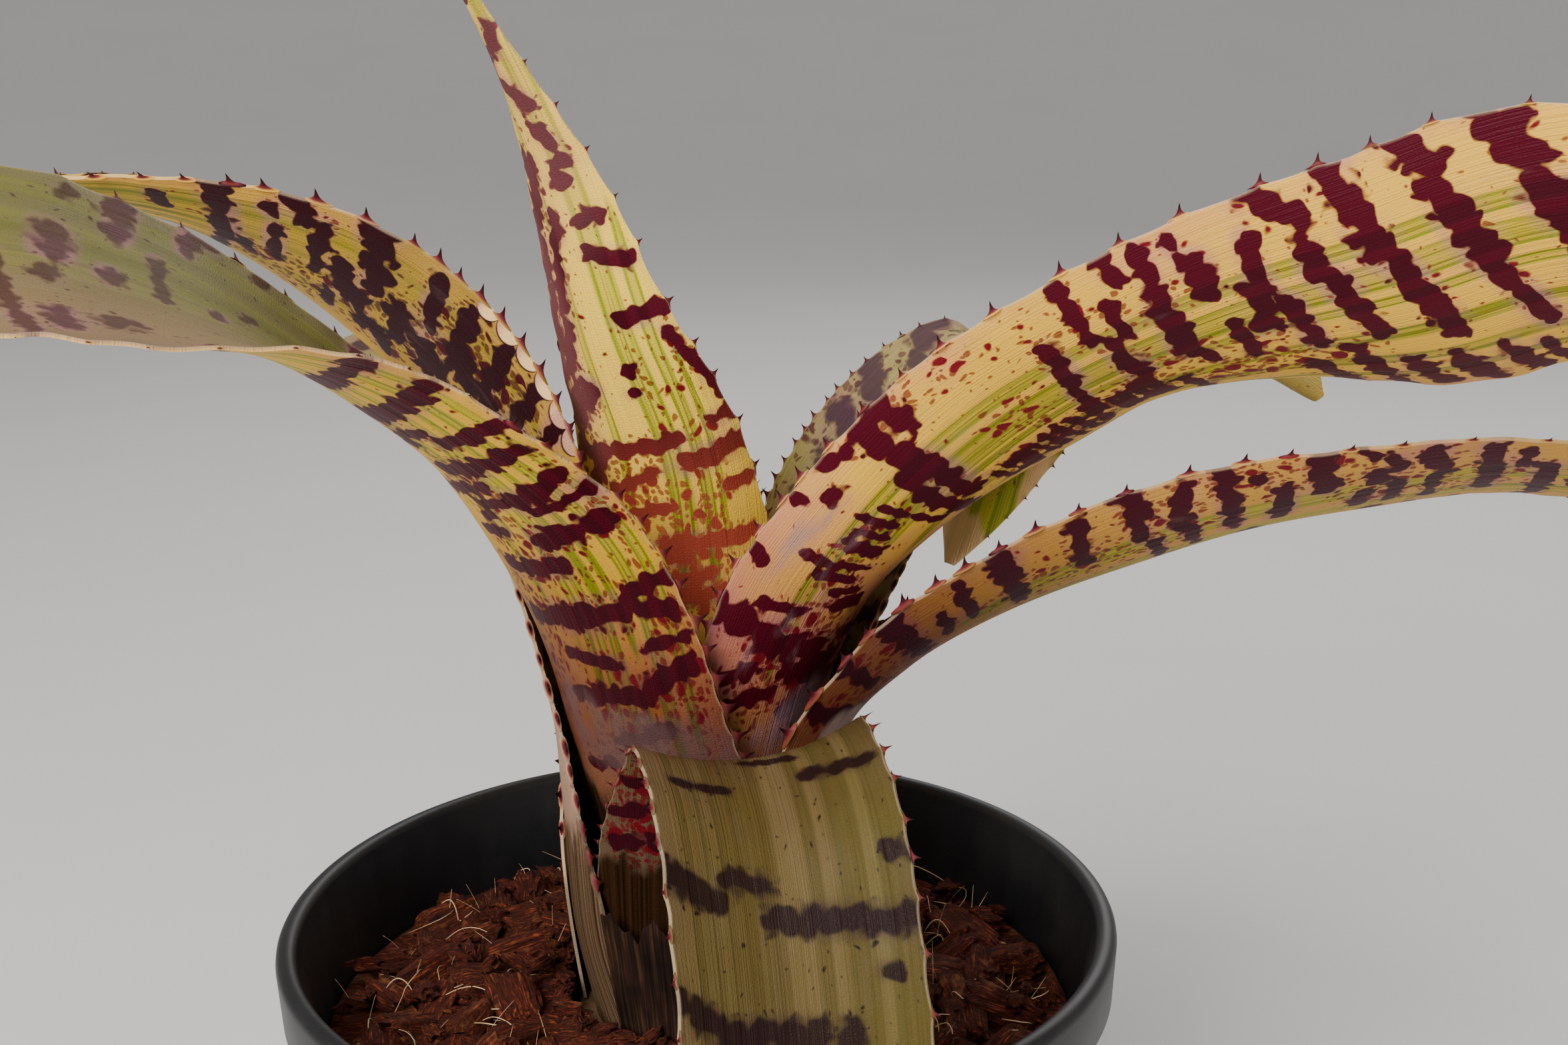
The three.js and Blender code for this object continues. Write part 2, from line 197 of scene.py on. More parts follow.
def cut_with(piece, cutter):
    """Cuts one piece out of another for good."""
    pick(piece)
    cut = piece.modifiers.new("cut", "BOOLEAN")
    cut.operation = "DIFFERENCE"
    cut.solver = "EXACT"
    cut.object = cutter
    bpy.ops.object.modifier_apply(modifier=cut.name)
    bpy.data.objects.remove(cutter)


def smooth(piece, angle=40):
    pick(piece)
    bpy.ops.object.shade_smooth_by_angle(angle=math.radians(angle))


def rim_arc(steps=10):
    """The rolled lip, over the top from its outer to its inner side."""
    centre = RIM_RADIUS - RIM_LIP / 2 + 0.05
    half = RIM_LIP / 2 - 0.05
    turns = [math.pi * i / steps for i in range(steps + 1)]
    return [(centre + half * math.cos(t), POT_HEIGHT - 2 + 2 * math.sin(t)) for t in turns]


skirt = POT_HEIGHT - RIM_DROP
outer_wall = [(inner_radius(h) + WALL, h) for h in np.linspace(8, skirt - 2.4, 9)]
inner_wall = [(inner_radius(h), h) for h in np.linspace(POT_HEIGHT - 4, WALL + 2, 14)]
pot_profile = [(0, 0), (30, 0), (BASE_RADIUS - 1.5, 0), (BASE_RADIUS - 0.5, 0.4), (BASE_RADIUS, 1.5)]
pot_profile += outer_wall
pot_profile += [(inner_radius(skirt) + WALL, skirt - 1), (RIM_RADIUS - 0.9, skirt - 0.6)]
pot_profile.append((RIM_RADIUS - 0.6, skirt))
pot_profile += rim_arc() + inner_wall
pot_profile += [(inner_radius(WALL) - 0.6, WALL + 0.5), (inner_radius(WALL) - 2, WALL)]
pot_profile += [(30, WALL), (0, WALL)]
pot = spun("nursery_pot", pot_profile, POT_STEPS)

# The draw ribs stand a quarter of a millimetre proud of the inner wall, above the mix.
for v in pot.data.vertices:
    radius = math.hypot(v.co.x, v.co.y) / MM
    height = v.co.z / MM
    on_wall = abs(radius - inner_radius(height)) < 0.2 and WALL + 4 < height < POT_HEIGHT - 4
    if on_wall:
        wave = max(0.0, math.cos(POT_RIBS * math.atan2(v.co.y, v.co.x))) ** 3
        share = (radius - RIB_HEIGHT * wave) / radius
        v.co.x *= share
        v.co.y *= share

deselect()
drills = []
for i in range(DRAIN_HOLES):
    around = 2 * math.pi * i / DRAIN_HOLES
    place = (DRAIN_RING * MM * math.cos(around), DRAIN_RING * MM * math.sin(around), WALL * MM / 2)
    bpy.ops.mesh.primitive_cylinder_add(vertices=32, radius=DRAIN_RADIUS * MM, depth=8 * MM, location=place)
    drills.append(bpy.context.active_object)
for drill in drills:
    drill.select_set(True)
bpy.ops.object.join()
cut_with(pot, bpy.context.active_object)
smooth(pot)

# Moulded polypropylene: near black, satin, with a fine spark-eroded grain and a thin film of dust.
plastic, tree = new_material("black polypropylene, moulded satin")
place = put(tree, "TexCoord")
cloud = put(tree, "TexNoise", None, {"Vector": place.outputs["Object"], "Scale": 45.0, "Detail": 5.0})
pores = put(tree, "TexNoise", None, {"Vector": place.outputs["Object"], "Scale": 2200.0, "Detail": 1.0})
dusty = put(tree, "MapRange", None, {"Value": cloud, 1: 0.45, 2: 0.8, 3: 0.0, 4: 1.0})
tone = put(tree, "Mix", {"data_type": "RGBA"},
           {0: dusty, 6: hex_colour("#121214"), 7: hex_colour("#26241f")})
gloss = put(tree, "MapRange", None, {"Value": cloud, 3: 0.36, 4: 0.56})
relief = put(tree, "Bump", None, {"Strength": 0.25, "Distance": 0.00008, "Height": pores})
finish_material(tree, put(tree, "BsdfPrincipled", None, {
    "Base Color": tone, "Roughness": gloss, "IOR": 1.49, "Normal": relief}))
pot.data.materials.clear()
pot.data.materials.append(plastic)
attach(pot, "root")
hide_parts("pot")

# Coir mix
# Chopped coconut husk: a bed of fine crumbs that fills the pot, and torn chips of husk, 8 to 17 mm long,
# lying loose on top with their fibres showing, and a few long pale fibres that have come away.
FIT = 0.35
MIX_EDGE = 106
MIX_MIDDLE = 109
CHIP_COUNT = 84
CHIP_SEED = 7
CHIP_CUTS = 6
CRUMB_COUNT = 230
CRUMB_CUTS = 3
FALLEN_CRUMBS = 90
LONG_FIBRES = 150
ALL_FIBRES = 290
FIBRE_SEED = 21
LUMP_HEIGHT = 0.9
AXIS = Vector((2.5, 5, 0))
FOOT = 104
HOLE_RADIUS = 27.5
HOLE_DEPTH = 16
CUTTER_HEIGHT = 60
WORD = 0xFFFFFFFF


def chip_random(seed):
    """The same random numbers that laid the chips of the solid, so the fine ones lie where those do."""
    state = [seed]

    def draw():
        state[0] = (state[0] + 0x6D2B79F5) & WORD
        t = ((state[0] ^ (state[0] >> 15)) * (1 | state[0])) & WORD
        t = ((t + (t ^ (t >> 7)) * (61 | t)) & WORD) ^ t
        return ((t ^ (t >> 14)) & WORD) / 4294967296

    return draw


def chip_corners(draw, scale=1.0):
    """The eight pulled corners of one chip, turned and tilted, in millimetres about its centre."""
    size = [8 + 9 * draw(), 5 + 5 * draw(), 4 + 3.5 * draw()]
    corners = []
    for i in range(8):
        corner = []
        for k, side in enumerate(size):
            way = 0.5 if (i >> k) & 1 else -0.5
            corner.append(side * way * (0.7 + 0.5 * draw()))
        corners.append(corner)
    tilt = [0.9 * (draw() - 0.5), 0.9 * (draw() - 0.5), 2 * math.pi * draw()]
    turn = Matrix.Rotation(tilt[0], 3, "X")
    turn = turn @ Matrix.Rotation(tilt[1], 3, "Y")
    turn = turn @ Matrix.Rotation(tilt[2], 3, "Z")
    return np.array([turn @ (Vector(corner) * scale) for corner in corners]), size


def chip_block(cuts):
    """One block of husk to bend into every chip: a cube cut fine, with its edges worn round."""
    deselect()
    bpy.ops.mesh.primitive_cube_add(size=2)
    block = bpy.context.active_object
    bpy.ops.object.mode_set(mode="EDIT")
    bpy.ops.mesh.select_all(action="SELECT")
    bpy.ops.mesh.subdivide(number_cuts=cuts)
    bpy.ops.object.mode_set(mode="OBJECT")
    at = np.array([v.co for v in block.data.vertices])
    faces = [tuple(p.vertices) for p in block.data.polygons]
    bpy.data.objects.remove(block)
    worn = 1 - 0.16 * (np.sort(np.abs(at), axis=1)[:, 1:2] ** 6)
    return at * worn, faces


def wave_noise(at, seed):
    """A cheap smooth noise from -1 to 1: a few sine waves in directions set by the seed."""
    dice = np.random.default_rng(seed)
    total = np.zeros(len(at))
    for _ in range(5):
        total += np.sin(at @ dice.normal(size=3) + dice.uniform(0, 6.28))
    return total / 3


def bent_chips(name, block, chips):
    """Every chip as a copy of the block, bent to its corners and torn along its fibres, in one mesh."""
    at, faces = block
    weights = np.ones((len(at), 8))
    for i in range(8):
        for k in range(3):
            weights[:, i] *= (1 + at[:, k] * (1 if (i >> k) & 1 else -1)) / 2
    points, grains, rows = [], [], []
    for number, (corners, centre, size) in enumerate(chips):
        local = at * np.array(size) / 2
        frayed = np.clip(np.abs(at[:, 0]) - 0.6, 0, 1) * 2.5
        ridges = wave_noise(local * (0.25, 2.6, 2.6), number)
        torn = wave_noise(local * (0.1, 4.5, 4.5), number + 500)
        bent = weights @ corners
        outward = bent / np.maximum(np.linalg.norm(bent, axis=1, keepdims=True), 1e-6)
        along = corners[1::2].mean(0) - corners[0::2].mean(0)
        along /= np.linalg.norm(along)
        bent = bent + outward * (0.65 * ridges + 0.2 * torn)[:, None]
        bent = bent + along * (np.sign(at[:, 0]) * frayed * torn * 1.3)[:, None]
        rows += [tuple(v + number * len(at) for v in face) for face in faces]
        points.append(bent + centre)
        grains.append(local + 40 * number * np.array([0.3, 0.7, 1.1]))
    mesh = bpy.data.meshes.new(name)
    mesh.from_pydata((np.vstack(points) * MM).tolist(), [], rows)
    grain_of = mesh.attributes.new("grain", "FLOAT_VECTOR", "POINT")
    grain_of.data.foreach_set("vector", np.vstack(grains).ravel())
    made = bpy.data.objects.new(name, mesh)
    bpy.context.collection.objects.link(made)
    smooth(made, 50)
    return made


draw = chip_random(CHIP_SEED)
edge = inner_radius(MIX_EDGE) - FIT
inner, outer = HOLE_RADIUS + 5, edge - 8
large_chips = []
for i in range(CHIP_COUNT):
    radius = math.sqrt(inner**2 + (outer**2 - inner**2) * (i + 0.5) / CHIP_COUNT)
    around = i * math.pi * (3 - math.sqrt(5))
    ground = MIX_MIDDLE + (MIX_EDGE - MIX_MIDDLE) * (radius - HOLE_RADIUS) / (edge - HOLE_RADIUS)
    height = ground + 1.8 * draw() - 0.2
    corners, size = chip_corners(draw)
    centre = np.array([radius * math.cos(around), radius * math.sin(around), height])
    large_chips.append((corners, centre, size))
husk_chips = bent_chips("husk_chips", chip_block(CHIP_CUTS), large_chips)

draw = chip_random(CHIP_SEED + 1)
small_chips = []
for i in range(CRUMB_COUNT):
    radius = math.sqrt(29**2 + ((edge - 2.5) ** 2 - 29**2) * draw())
    around = 2 * math.pi * draw()
    centre = np.array([radius * math.cos(around), radius * math.sin(around), 0])
    if math.hypot(centre[0] - AXIS.x, centre[1] - AXIS.y) < HOLE_RADIUS + 1.5:
        continue
    scale = 0.22 + 0.3 * draw() ** 2
    ground = MIX_MIDDLE + (MIX_EDGE - MIX_MIDDLE) * (radius - HOLE_RADIUS) / (edge - HOLE_RADIUS)
    centre[2] = ground + 1.0 + 4.2 * draw() ** 1.5
    corners, size = chip_corners(draw, scale)
    small_chips.append((corners, centre, size))
# A ring of crumbs that has fallen against the plant's foot.
for i in range(FALLEN_CRUMBS):
    around = 2 * math.pi * (i + draw()) / FALLEN_CRUMBS
    radius = HOLE_RADIUS + 0.4 + 2.4 * draw()
    corners, size = chip_corners(draw, 0.2 + 0.16 * draw())
    out = radius * np.array([math.cos(around), math.sin(around)])
    centre = np.array([AXIS.x + out[0], AXIS.y + out[1], MIX_MIDDLE + 1.4 * draw()])
    small_chips.append((corners, centre, size))
husk_crumbs = bent_chips("husk_crumbs", chip_block(CRUMB_CUTS), small_chips)

# The bed under the chips, lumpy, with the hole that the plant stands in.
bed_profile = [(0, WALL + FIT), (inner_radius(WALL) - 2 - FIT, WALL + FIT)]
bed_profile.append((inner_radius(WALL + 2) - FIT, WALL + 2 + FIT))
bed_profile += [(inner_radius(h) - FIT - RIB_HEIGHT, h) for h in (40, 80, MIX_EDGE - 3, MIX_EDGE - 0.5)]
bed_profile += [(r, MIX_MIDDLE + (MIX_EDGE - MIX_MIDDLE) * (r - HOLE_RADIUS) / (edge - HOLE_RADIUS))
                for r in np.linspace(edge - 1, 24, 26)]
bed_profile += [(12, MIX_MIDDLE), (0, MIX_MIDDLE)]
husk_bed = spun("husk_bed", bed_profile, 160)
at = np.array([v.co for v in husk_bed.data.vertices]) / MM
lumps = wave_noise(at * (0.9, 0.9, 0), 11) + 0.6 * wave_noise(at * (2.1, 2.1, 0), 12)
on_top = (at[:, 2] > MIX_EDGE - 0.2) & (np.hypot(at[:, 0], at[:, 1]) < edge - 1.5)
at[on_top, 2] += LUMP_HEIGHT * lumps[on_top]
husk_bed.data.vertices.foreach_set("co", (at * MM).ravel())
deselect()
cutter_middle = FOOT - HOLE_DEPTH + CUTTER_HEIGHT / 2
bpy.ops.mesh.primitive_cylinder_add(vertices=64, radius=HOLE_RADIUS * MM, depth=CUTTER_HEIGHT * MM,
                                    location=(AXIS.x * MM, AXIS.y * MM, cutter_middle * MM))
cut_with(husk_bed, bpy.context.active_object)
at = np.array([v.co for v in husk_bed.data.vertices]) / MM
husk_bed.data.attributes.new("grain", "FLOAT_VECTOR", "POINT").data.foreach_set("vector", at.ravel())
smooth(husk_bed, 60)


def tubes(name, paths, radii, sides=5):
    """Thin round strands in one mesh. Each path is a row of points in millimetres, each with its radius."""
    points, faces = [], []
    for path, radius in zip(paths, radii):
        path = np.array(path, float)
        ahead = np.gradient(path, axis=0)
        ahead /= np.linalg.norm(ahead, axis=1, keepdims=True)
        across = np.cross(ahead, (0.31, 0.22, 0.92))
        across /= np.linalg.norm(across, axis=1, keepdims=True)
        up = np.cross(across, ahead)
        first = len(points)
        for k in range(len(path)):
            for j in range(sides):
                t = 2 * math.pi * j / sides
                points.append(path[k] + radius[k] * (across[k] * math.cos(t) + up[k] * math.sin(t)))
        for k in range(len(path) - 1):
            for j in range(sides):
                a = first + k * sides + j
                b = first + k * sides + (j + 1) % sides
                faces.append((a, b, b + sides, a + sides))
        faces.append(tuple(first + j for j in reversed(range(sides))))
        faces.append(tuple(first + (len(path) - 1) * sides + j for j in range(sides)))
    mesh = bpy.data.meshes.new(name)
    mesh.from_pydata((np.array(points) * MM).tolist(), [], faces)
    made = bpy.data.objects.new(name, mesh)
    bpy.context.collection.objects.link(made)
    pick(made)
    bpy.ops.object.mode_set(mode="EDIT")
    bpy.ops.mesh.select_all(action="SELECT")
    bpy.ops.mesh.normals_make_consistent(inside=False)
    bpy.ops.object.mode_set(mode="OBJECT")
    bpy.ops.object.shade_smooth()
    return made


dice = np.random.default_rng(FIBRE_SEED)
paths, radii = [], []
while len(paths) < LONG_FIBRES:
    radius, around = math.sqrt(dice.uniform(31**2, (edge - 3) ** 2)), dice.uniform(0, 2 * math.pi)
    start = np.array([radius * math.cos(around), radius * math.sin(around), 0])
    count, heading, bend = 14, dice.uniform(0, 2 * math.pi), dice.normal(0, 0.16)
    reach = dice.uniform(0.5, 1.7)
    path, arch = [], dice.uniform(0.6, 3.2)
    for k in range(count):
        share = k / (count - 1)
        height = MIX_EDGE + 1.5 + 3.2 * math.sin(math.pi * share) * arch / 2
        path.append([start[0], start[1], height])
        heading += bend + dice.normal(0, 0.12)
        start = start + reach * np.array([math.cos(heading), math.sin(heading), 0])
    path = np.array(path)
    away = np.hypot(path[:, 0] - AXIS.x, path[:, 1] - AXIS.y)
    if away.min() < HOLE_RADIUS + 2 or np.hypot(path[:, 0], path[:, 1]).max() > edge - 1:
        continue
    thick = dice.uniform(0.07, 0.15)
    paths.append(path)
    radii.append(thick * (1 - 0.6 * np.linspace(-1, 1, count) ** 2))
# Short stiff fibres that stand up out of the chips.
while len(paths) < ALL_FIBRES:
    radius, around = math.sqrt(dice.uniform(32**2, (edge - 4) ** 2)), dice.uniform(0, 2 * math.pi)
    foot = np.array([radius * math.cos(around), radius * math.sin(around), MIX_EDGE + 2.0])
    lean, heading, long = dice.uniform(0.2, 1.3), dice.uniform(0, 2 * math.pi), dice.uniform(4, 11)
    share = np.linspace(0, 1, 8)[:, None]
    level = math.sin(lean)
    tip = long * np.array([level * math.cos(heading), level * math.sin(heading), math.cos(lean)])
    sag = np.array([math.cos(heading + 1), math.sin(heading + 1), -0.3]) * dice.uniform(0.3, 1.6)
    path = foot + share * tip + share**2 * sag
    away = np.hypot(path[:, 0] - AXIS.x, path[:, 1] - AXIS.y)
    if away.min() < HOLE_RADIUS + 2 or np.hypot(path[:, 0], path[:, 1]).max() > edge - 1:
        continue
    paths.append(path)
    radii.append(dice.uniform(0.05, 0.09) * (1 - 0.7 * share[:, 0] ** 2))
husk_fibres = tubes("husk_fibres", paths, radii)

# Coconut husk: dull red-brown, with painted shade in its pits and in the hollows between the fibres, and
# painted highlights on the fibres along the chip.
husk, tree = new_material("coconut husk, chopped and dry")
grain = put(tree, "Attribute", {"attribute_name": "grain"})
place = put(tree, "TexCoord")
stretched = put(tree, "Mapping", None, {"Vector": grain.outputs["Vector"], "Scale": (0.22, 2.4, 2.4)})
strands = put(tree, "TexNoise", None, {"Vector": stretched, "Scale": 1.0, "Detail": 6.0, "Roughness": 0.65})
patches = put(tree, "TexNoise", None, {"Vector": grain.outputs["Vector"], "Scale": 0.22, "Detail": 3.0})
crumb = put(tree, "TexNoise", None, {"Vector": place.outputs["Object"], "Scale": 900.0, "Detail": 4.0})
# Painted shade and highlight: the strands' colour runs from near black in the hollows of the relief to bright
# orange on its ridges.
strand_shade_and_highlight = put(tree, "ValToRGB", None, {"Fac": strands})
strand_shade_and_highlight.color_ramp.elements[0].position = 0.3
strand_shade_and_highlight.color_ramp.elements[0].color = hex_colour("#100403")
strand_shade_and_highlight.color_ramp.elements[1].position = 0.76
strand_shade_and_highlight.color_ramp.elements[1].color = hex_colour("#b4592e")
middle = strand_shade_and_highlight.color_ramp.elements.new(0.55)
middle.color = hex_colour("#4c1b0b")
pale = put(tree, "MapRange", None, {"Value": patches, 1: 0.58, 2: 0.75, 3: 0.0, 4: 0.5})
tone = put(tree, "Mix", {"data_type": "RGBA"}, {0: pale, 6: strand_shade_and_highlight, 7: hex_colour("#96603a")})
# Painted shade in the pits of the fine relief.
painted_pit_shade = put(tree, "MapRange", None, {"Value": crumb, 1: 0.3, 2: 0.6, 3: 0.55, 4: 1.0})
shade = put(tree, "Mix", {"data_type": "RGBA", "blend_type": "MULTIPLY"},
            {0: 1.0, 6: tone, 7: painted_pit_shade})
both = put(tree, "Math", {"operation": "ADD"}, {0: strands, 1: crumb})
relief = put(tree, "Bump", None, {"Strength": 0.9, "Distance": 0.0006, "Height": both})
finish_material(tree, put(tree, "BsdfPrincipled", None, {
    "Base Color": shade, "Roughness": 0.92, "Specular IOR Level": 0.2, "Normal": relief}))
for piece in (husk_chips, husk_crumbs, husk_bed):
    piece.data.materials.append(husk)
    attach(piece, "root")
    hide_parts("coir_mix")

# Loose husk fibres: straw coloured, a little shiny.
straw, tree = new_material("husk fibre, dry")
place = put(tree, "TexCoord")
spread = put(tree, "TexNoise", None, {"Vector": place.outputs["Object"], "Scale": 260.0})
tone = put(tree, "Mix", {"data_type": "RGBA"},
           {0: spread, 6: hex_colour("#7a4a28"), 7: hex_colour("#e2c492")})
finish_material(tree, put(tree, "BsdfPrincipled", None, {"Base Color": tone, "Roughness": 0.6}))
husk_fibres.data.materials.append(straw)
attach(husk_fibres, "root")
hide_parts("coir_mix")

# Crown
# The short thick stem that all the sheaths grow from, brown and corky. It stays as it is in the solids,
# because the sheaths hide it, and gets the look of old leaf scars.
corky, tree = new_material("stem, corky with old leaf scars")
place = put(tree, "TexCoord")
scars = put(tree, "TexWave", {"bands_direction": "Z"},
            {"Vector": place.outputs["Object"], "Scale": 120.0, "Distortion": 4.0, "Detail": 3.0})
tone = put(tree, "Mix", {"data_type": "RGBA"},
           {0: scars, 6: hex_colour("#2c1d13"), 7: hex_colour("#6d5234")})
relief = put(tree, "Bump", None, {"Strength": 0.6, "Distance": 0.0006, "Height": scars})
finish_material(tree, put(tree, "BsdfPrincipled", None, {
    "Base Color": tone, "Roughness": 0.85, "Normal": relief}))
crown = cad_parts["crown"]
crown.data.materials.clear()
crown.data.materials.append(corky)

# Leaves
# Ten stiff straps of one rosette, each with a broad sheath that clasps the ones inside it and forms the
# tank. Cream and pink with green lines, barred with wine red, and edged with dark hooked spines.
SHEATH_THICKNESS = 0.8
BLADE_THICKNESS = 1.0
EDGE_THICKNESS = 0.6
TIP_WIDTH = 2.4
BLEND = 45
ROW_SPACING = 0.9
COLUMNS = 60
CROWDING = 0.92
RIPPLE = 0.3
FRILL = 0.18
SPINE_ROOT = 0.35
FINE_SPECKLE = 0.14
BAR_SEED = 300
SPACING_SEED = 600
SPINE_SEED = 700
RIPPLE_SEED = 40


def smoothstep(x, low, high):
    t = np.clip((x - low) / (high - low), 0, 1)
    return t * t * (3 - 2 * t)


def midrib(path):
    """The line through a leaf's knots, as distances along it and its points, out from the axis and up."""
    knots = np.array(path, float)
    knots = np.vstack([2 * knots[0] - knots[1], knots, 2 * knots[-1] - knots[-2]])
    points = []
    for p0, p1, p2, p3 in zip(knots, knots[1:], knots[2:], knots[3:]):
        t = np.linspace(0, 1, 40, endpoint=False)[:, None]
        start, end = (p2 - p0) / 2, (p3 - p1) / 2
        cubic = 2 * p1 - 2 * p2 + start + end
        square = 3 * p2 - 3 * p1 - 2 * start - end
        points.append(cubic * t**3 + square * t**2 + start * t + p1)
    points = np.vstack(points + [knots[-2:-1]])
    steps = np.linalg.norm(np.diff(points, axis=0), axis=1)
    return np.concatenate([[0], np.cumsum(steps)]), points


def value_at(places, along):
    """A value that runs smoothly through evenly spaced places along the leaf."""
    places = np.array(places, float)
    k = np.clip(along, 0, 1) * (len(places) - 1)
    i = np.minimum(k.astype(int), len(places) - 2)
    share = smoothstep(k - i, 0, 1)
    return places[i] * (1 - share) + places[i + 1] * share


def leaf_points(leaf, across, along):
    """Points of the leaf's middle surface in millimetres, and the half width there."""
    steps, line = midrib(leaf["path"])
    length = steps[-1]
    out, up = (np.interp(along * length, steps, line[:, k]) for k in (0, 1))
    ahead = [np.interp(np.clip(along + 1e-3, 0, 1) * length, steps, line[:, k])
             - np.interp(np.clip(along - 1e-3, 0, 1) * length, steps, line[:, k]) for k in (0, 1)]
    ahead = np.array(ahead) / np.hypot(*ahead)
    throat = leaf["throat"] / length
    narrowed = np.clip((along - leaf["taper"]) / (1 - leaf["taper"]), 0, None) ** leaf["point"]
    blade = leaf["width"] * (1 - narrowed) + TIP_WIDTH
    clasp = 2 * math.radians(leaf["wrap"]) * out
    width = clasp + (blade - clasp) * smoothstep(along, 0, throat * 1.5)
    # In the tank, a strip of a funnel round the plant's axis.
    around = across * width / (2 * out)
    funnel = np.stack([out * np.cos(around), out * np.sin(around), up], 1)
    # Past the throat, an arched channel square to the midrib.
    twist = np.radians(value_at(leaf["twist"], along))[:, None]
    zero = np.zeros_like(out)
    side = np.stack([zero, zero + 1, zero], 1)
    inward = np.stack([-ahead[1], zero, ahead[0]], 1)
    level, upright = side, inward
    side = level * np.cos(twist) + upright * np.sin(twist)
    inward = upright * np.cos(twist) - level * np.sin(twist)
    curl = np.radians(value_at(leaf["channel"], along))
    radius = width / (2 * curl)
    channel = np.stack([out, zero, up], 1)
    channel = channel + side * (radius * np.sin(curl * across))[:, None]
    channel = channel + inward * (radius * (1 - np.cos(curl * across)))[:, None]
    share = smoothstep(along, throat, throat + BLEND / length)[:, None]
    placed = funnel * (1 - share) + channel * share
    turn = math.radians(leaf["turn"])
    x = placed[:, 0] * math.cos(turn) - placed[:, 1] * math.sin(turn) + AXIS.x
    y = placed[:, 0] * math.sin(turn) + placed[:, 1] * math.cos(turn) + AXIS.y
    return np.stack([x, y, placed[:, 2]], 1), width / 2


def unit(vectors):
    return vectors / np.maximum(np.linalg.norm(vectors, axis=1, keepdims=True), 1e-12)


def leaf_frame(leaf, across, along):
    """Points, the ways forward, across and up from the leaf's upper face, and the half width."""
    at, half = leaf_points(leaf, across, along)
    forward = unit(leaf_points(leaf, across, np.minimum(1, along + 2e-3))[0]
                   - leaf_points(leaf, across, np.maximum(0, along - 2e-3))[0])
    sideways = unit(leaf_points(leaf, np.minimum(1, across + 0.02), along)[0]
                    - leaf_points(leaf, np.maximum(-1, across - 0.02), along)[0])
    return at, forward, sideways, unit(np.cross(forward, sideways)), half


def mark_field(across, along, bars):
    """How deep a point lies in the bars: 1 in the middle of one, falling to 0 at its width from there."""
    field = np.zeros(len(across))
    for start_along, start_across, end_along, end_across, width in bars:
        reach = np.array([end_along - start_along, end_across - start_across], float)
        gap = np.stack([along - start_along, across - start_across], 1)
        share = np.clip(gap @ reach / max(reach @ reach, 1e-6), 0, 1)
        away = np.linalg.norm(gap - share[:, None] * reach, axis=1)
        field = np.maximum(field, np.clip(1 - away / width, 0, 1))
    return field


def soft_patch(across, along, patches):
    """A soft field from 0 to 1 for patches given as (along, across, half length, half width, strength)."""
    field = np.zeros(len(across))
    for centre_along, centre_across, long, wide, strength in patches:
        away = np.hypot((along - centre_along) / long, (across - centre_across) / wide)
        field = np.maximum(field, strength * (1 - smoothstep(away, 0.4, 1.0)))
    return field


def line_field(across, along, lines):
    """The green lines, each as (across where along is 80, across where it is 200, width, from, to)."""
    field = np.zeros(len(across))
    for near, far, width, start, end in lines:
        centre = near + (far - near) * (along - 80) / 120
        inside = smoothstep(along, start - 12, start + 12) * (1 - smoothstep(along, end - 12, end + 12))
        field = np.maximum(field, np.exp(-(((across - centre) / (width / 2)) ** 2)) * inside)
    return field


def rule_bars(dice, start, end, left, right, step=9.5):
    """Bars for a part of a leaf that the picture doesn't show, by a seeded rule."""
    bars = []
    at = start
    while at < end:
        cuts = np.sort(dice.uniform(left, right, 2))
        for a, b in ((left + 1, cuts[0] - 1.5), (cuts[0] + 1.5, right - 1)):
            if b - a < 3 or dice.random() < 0.18:
                continue
            lean = dice.normal(0, 1.5)
            bars.append((at + dice.normal(0, 1), a + dice.uniform(0, 2), at + lean, b - dice.uniform(0, 2),
                         dice.uniform(2.2, 4.6)))
        at += step * dice.uniform(0.65, 1.35)
    return bars
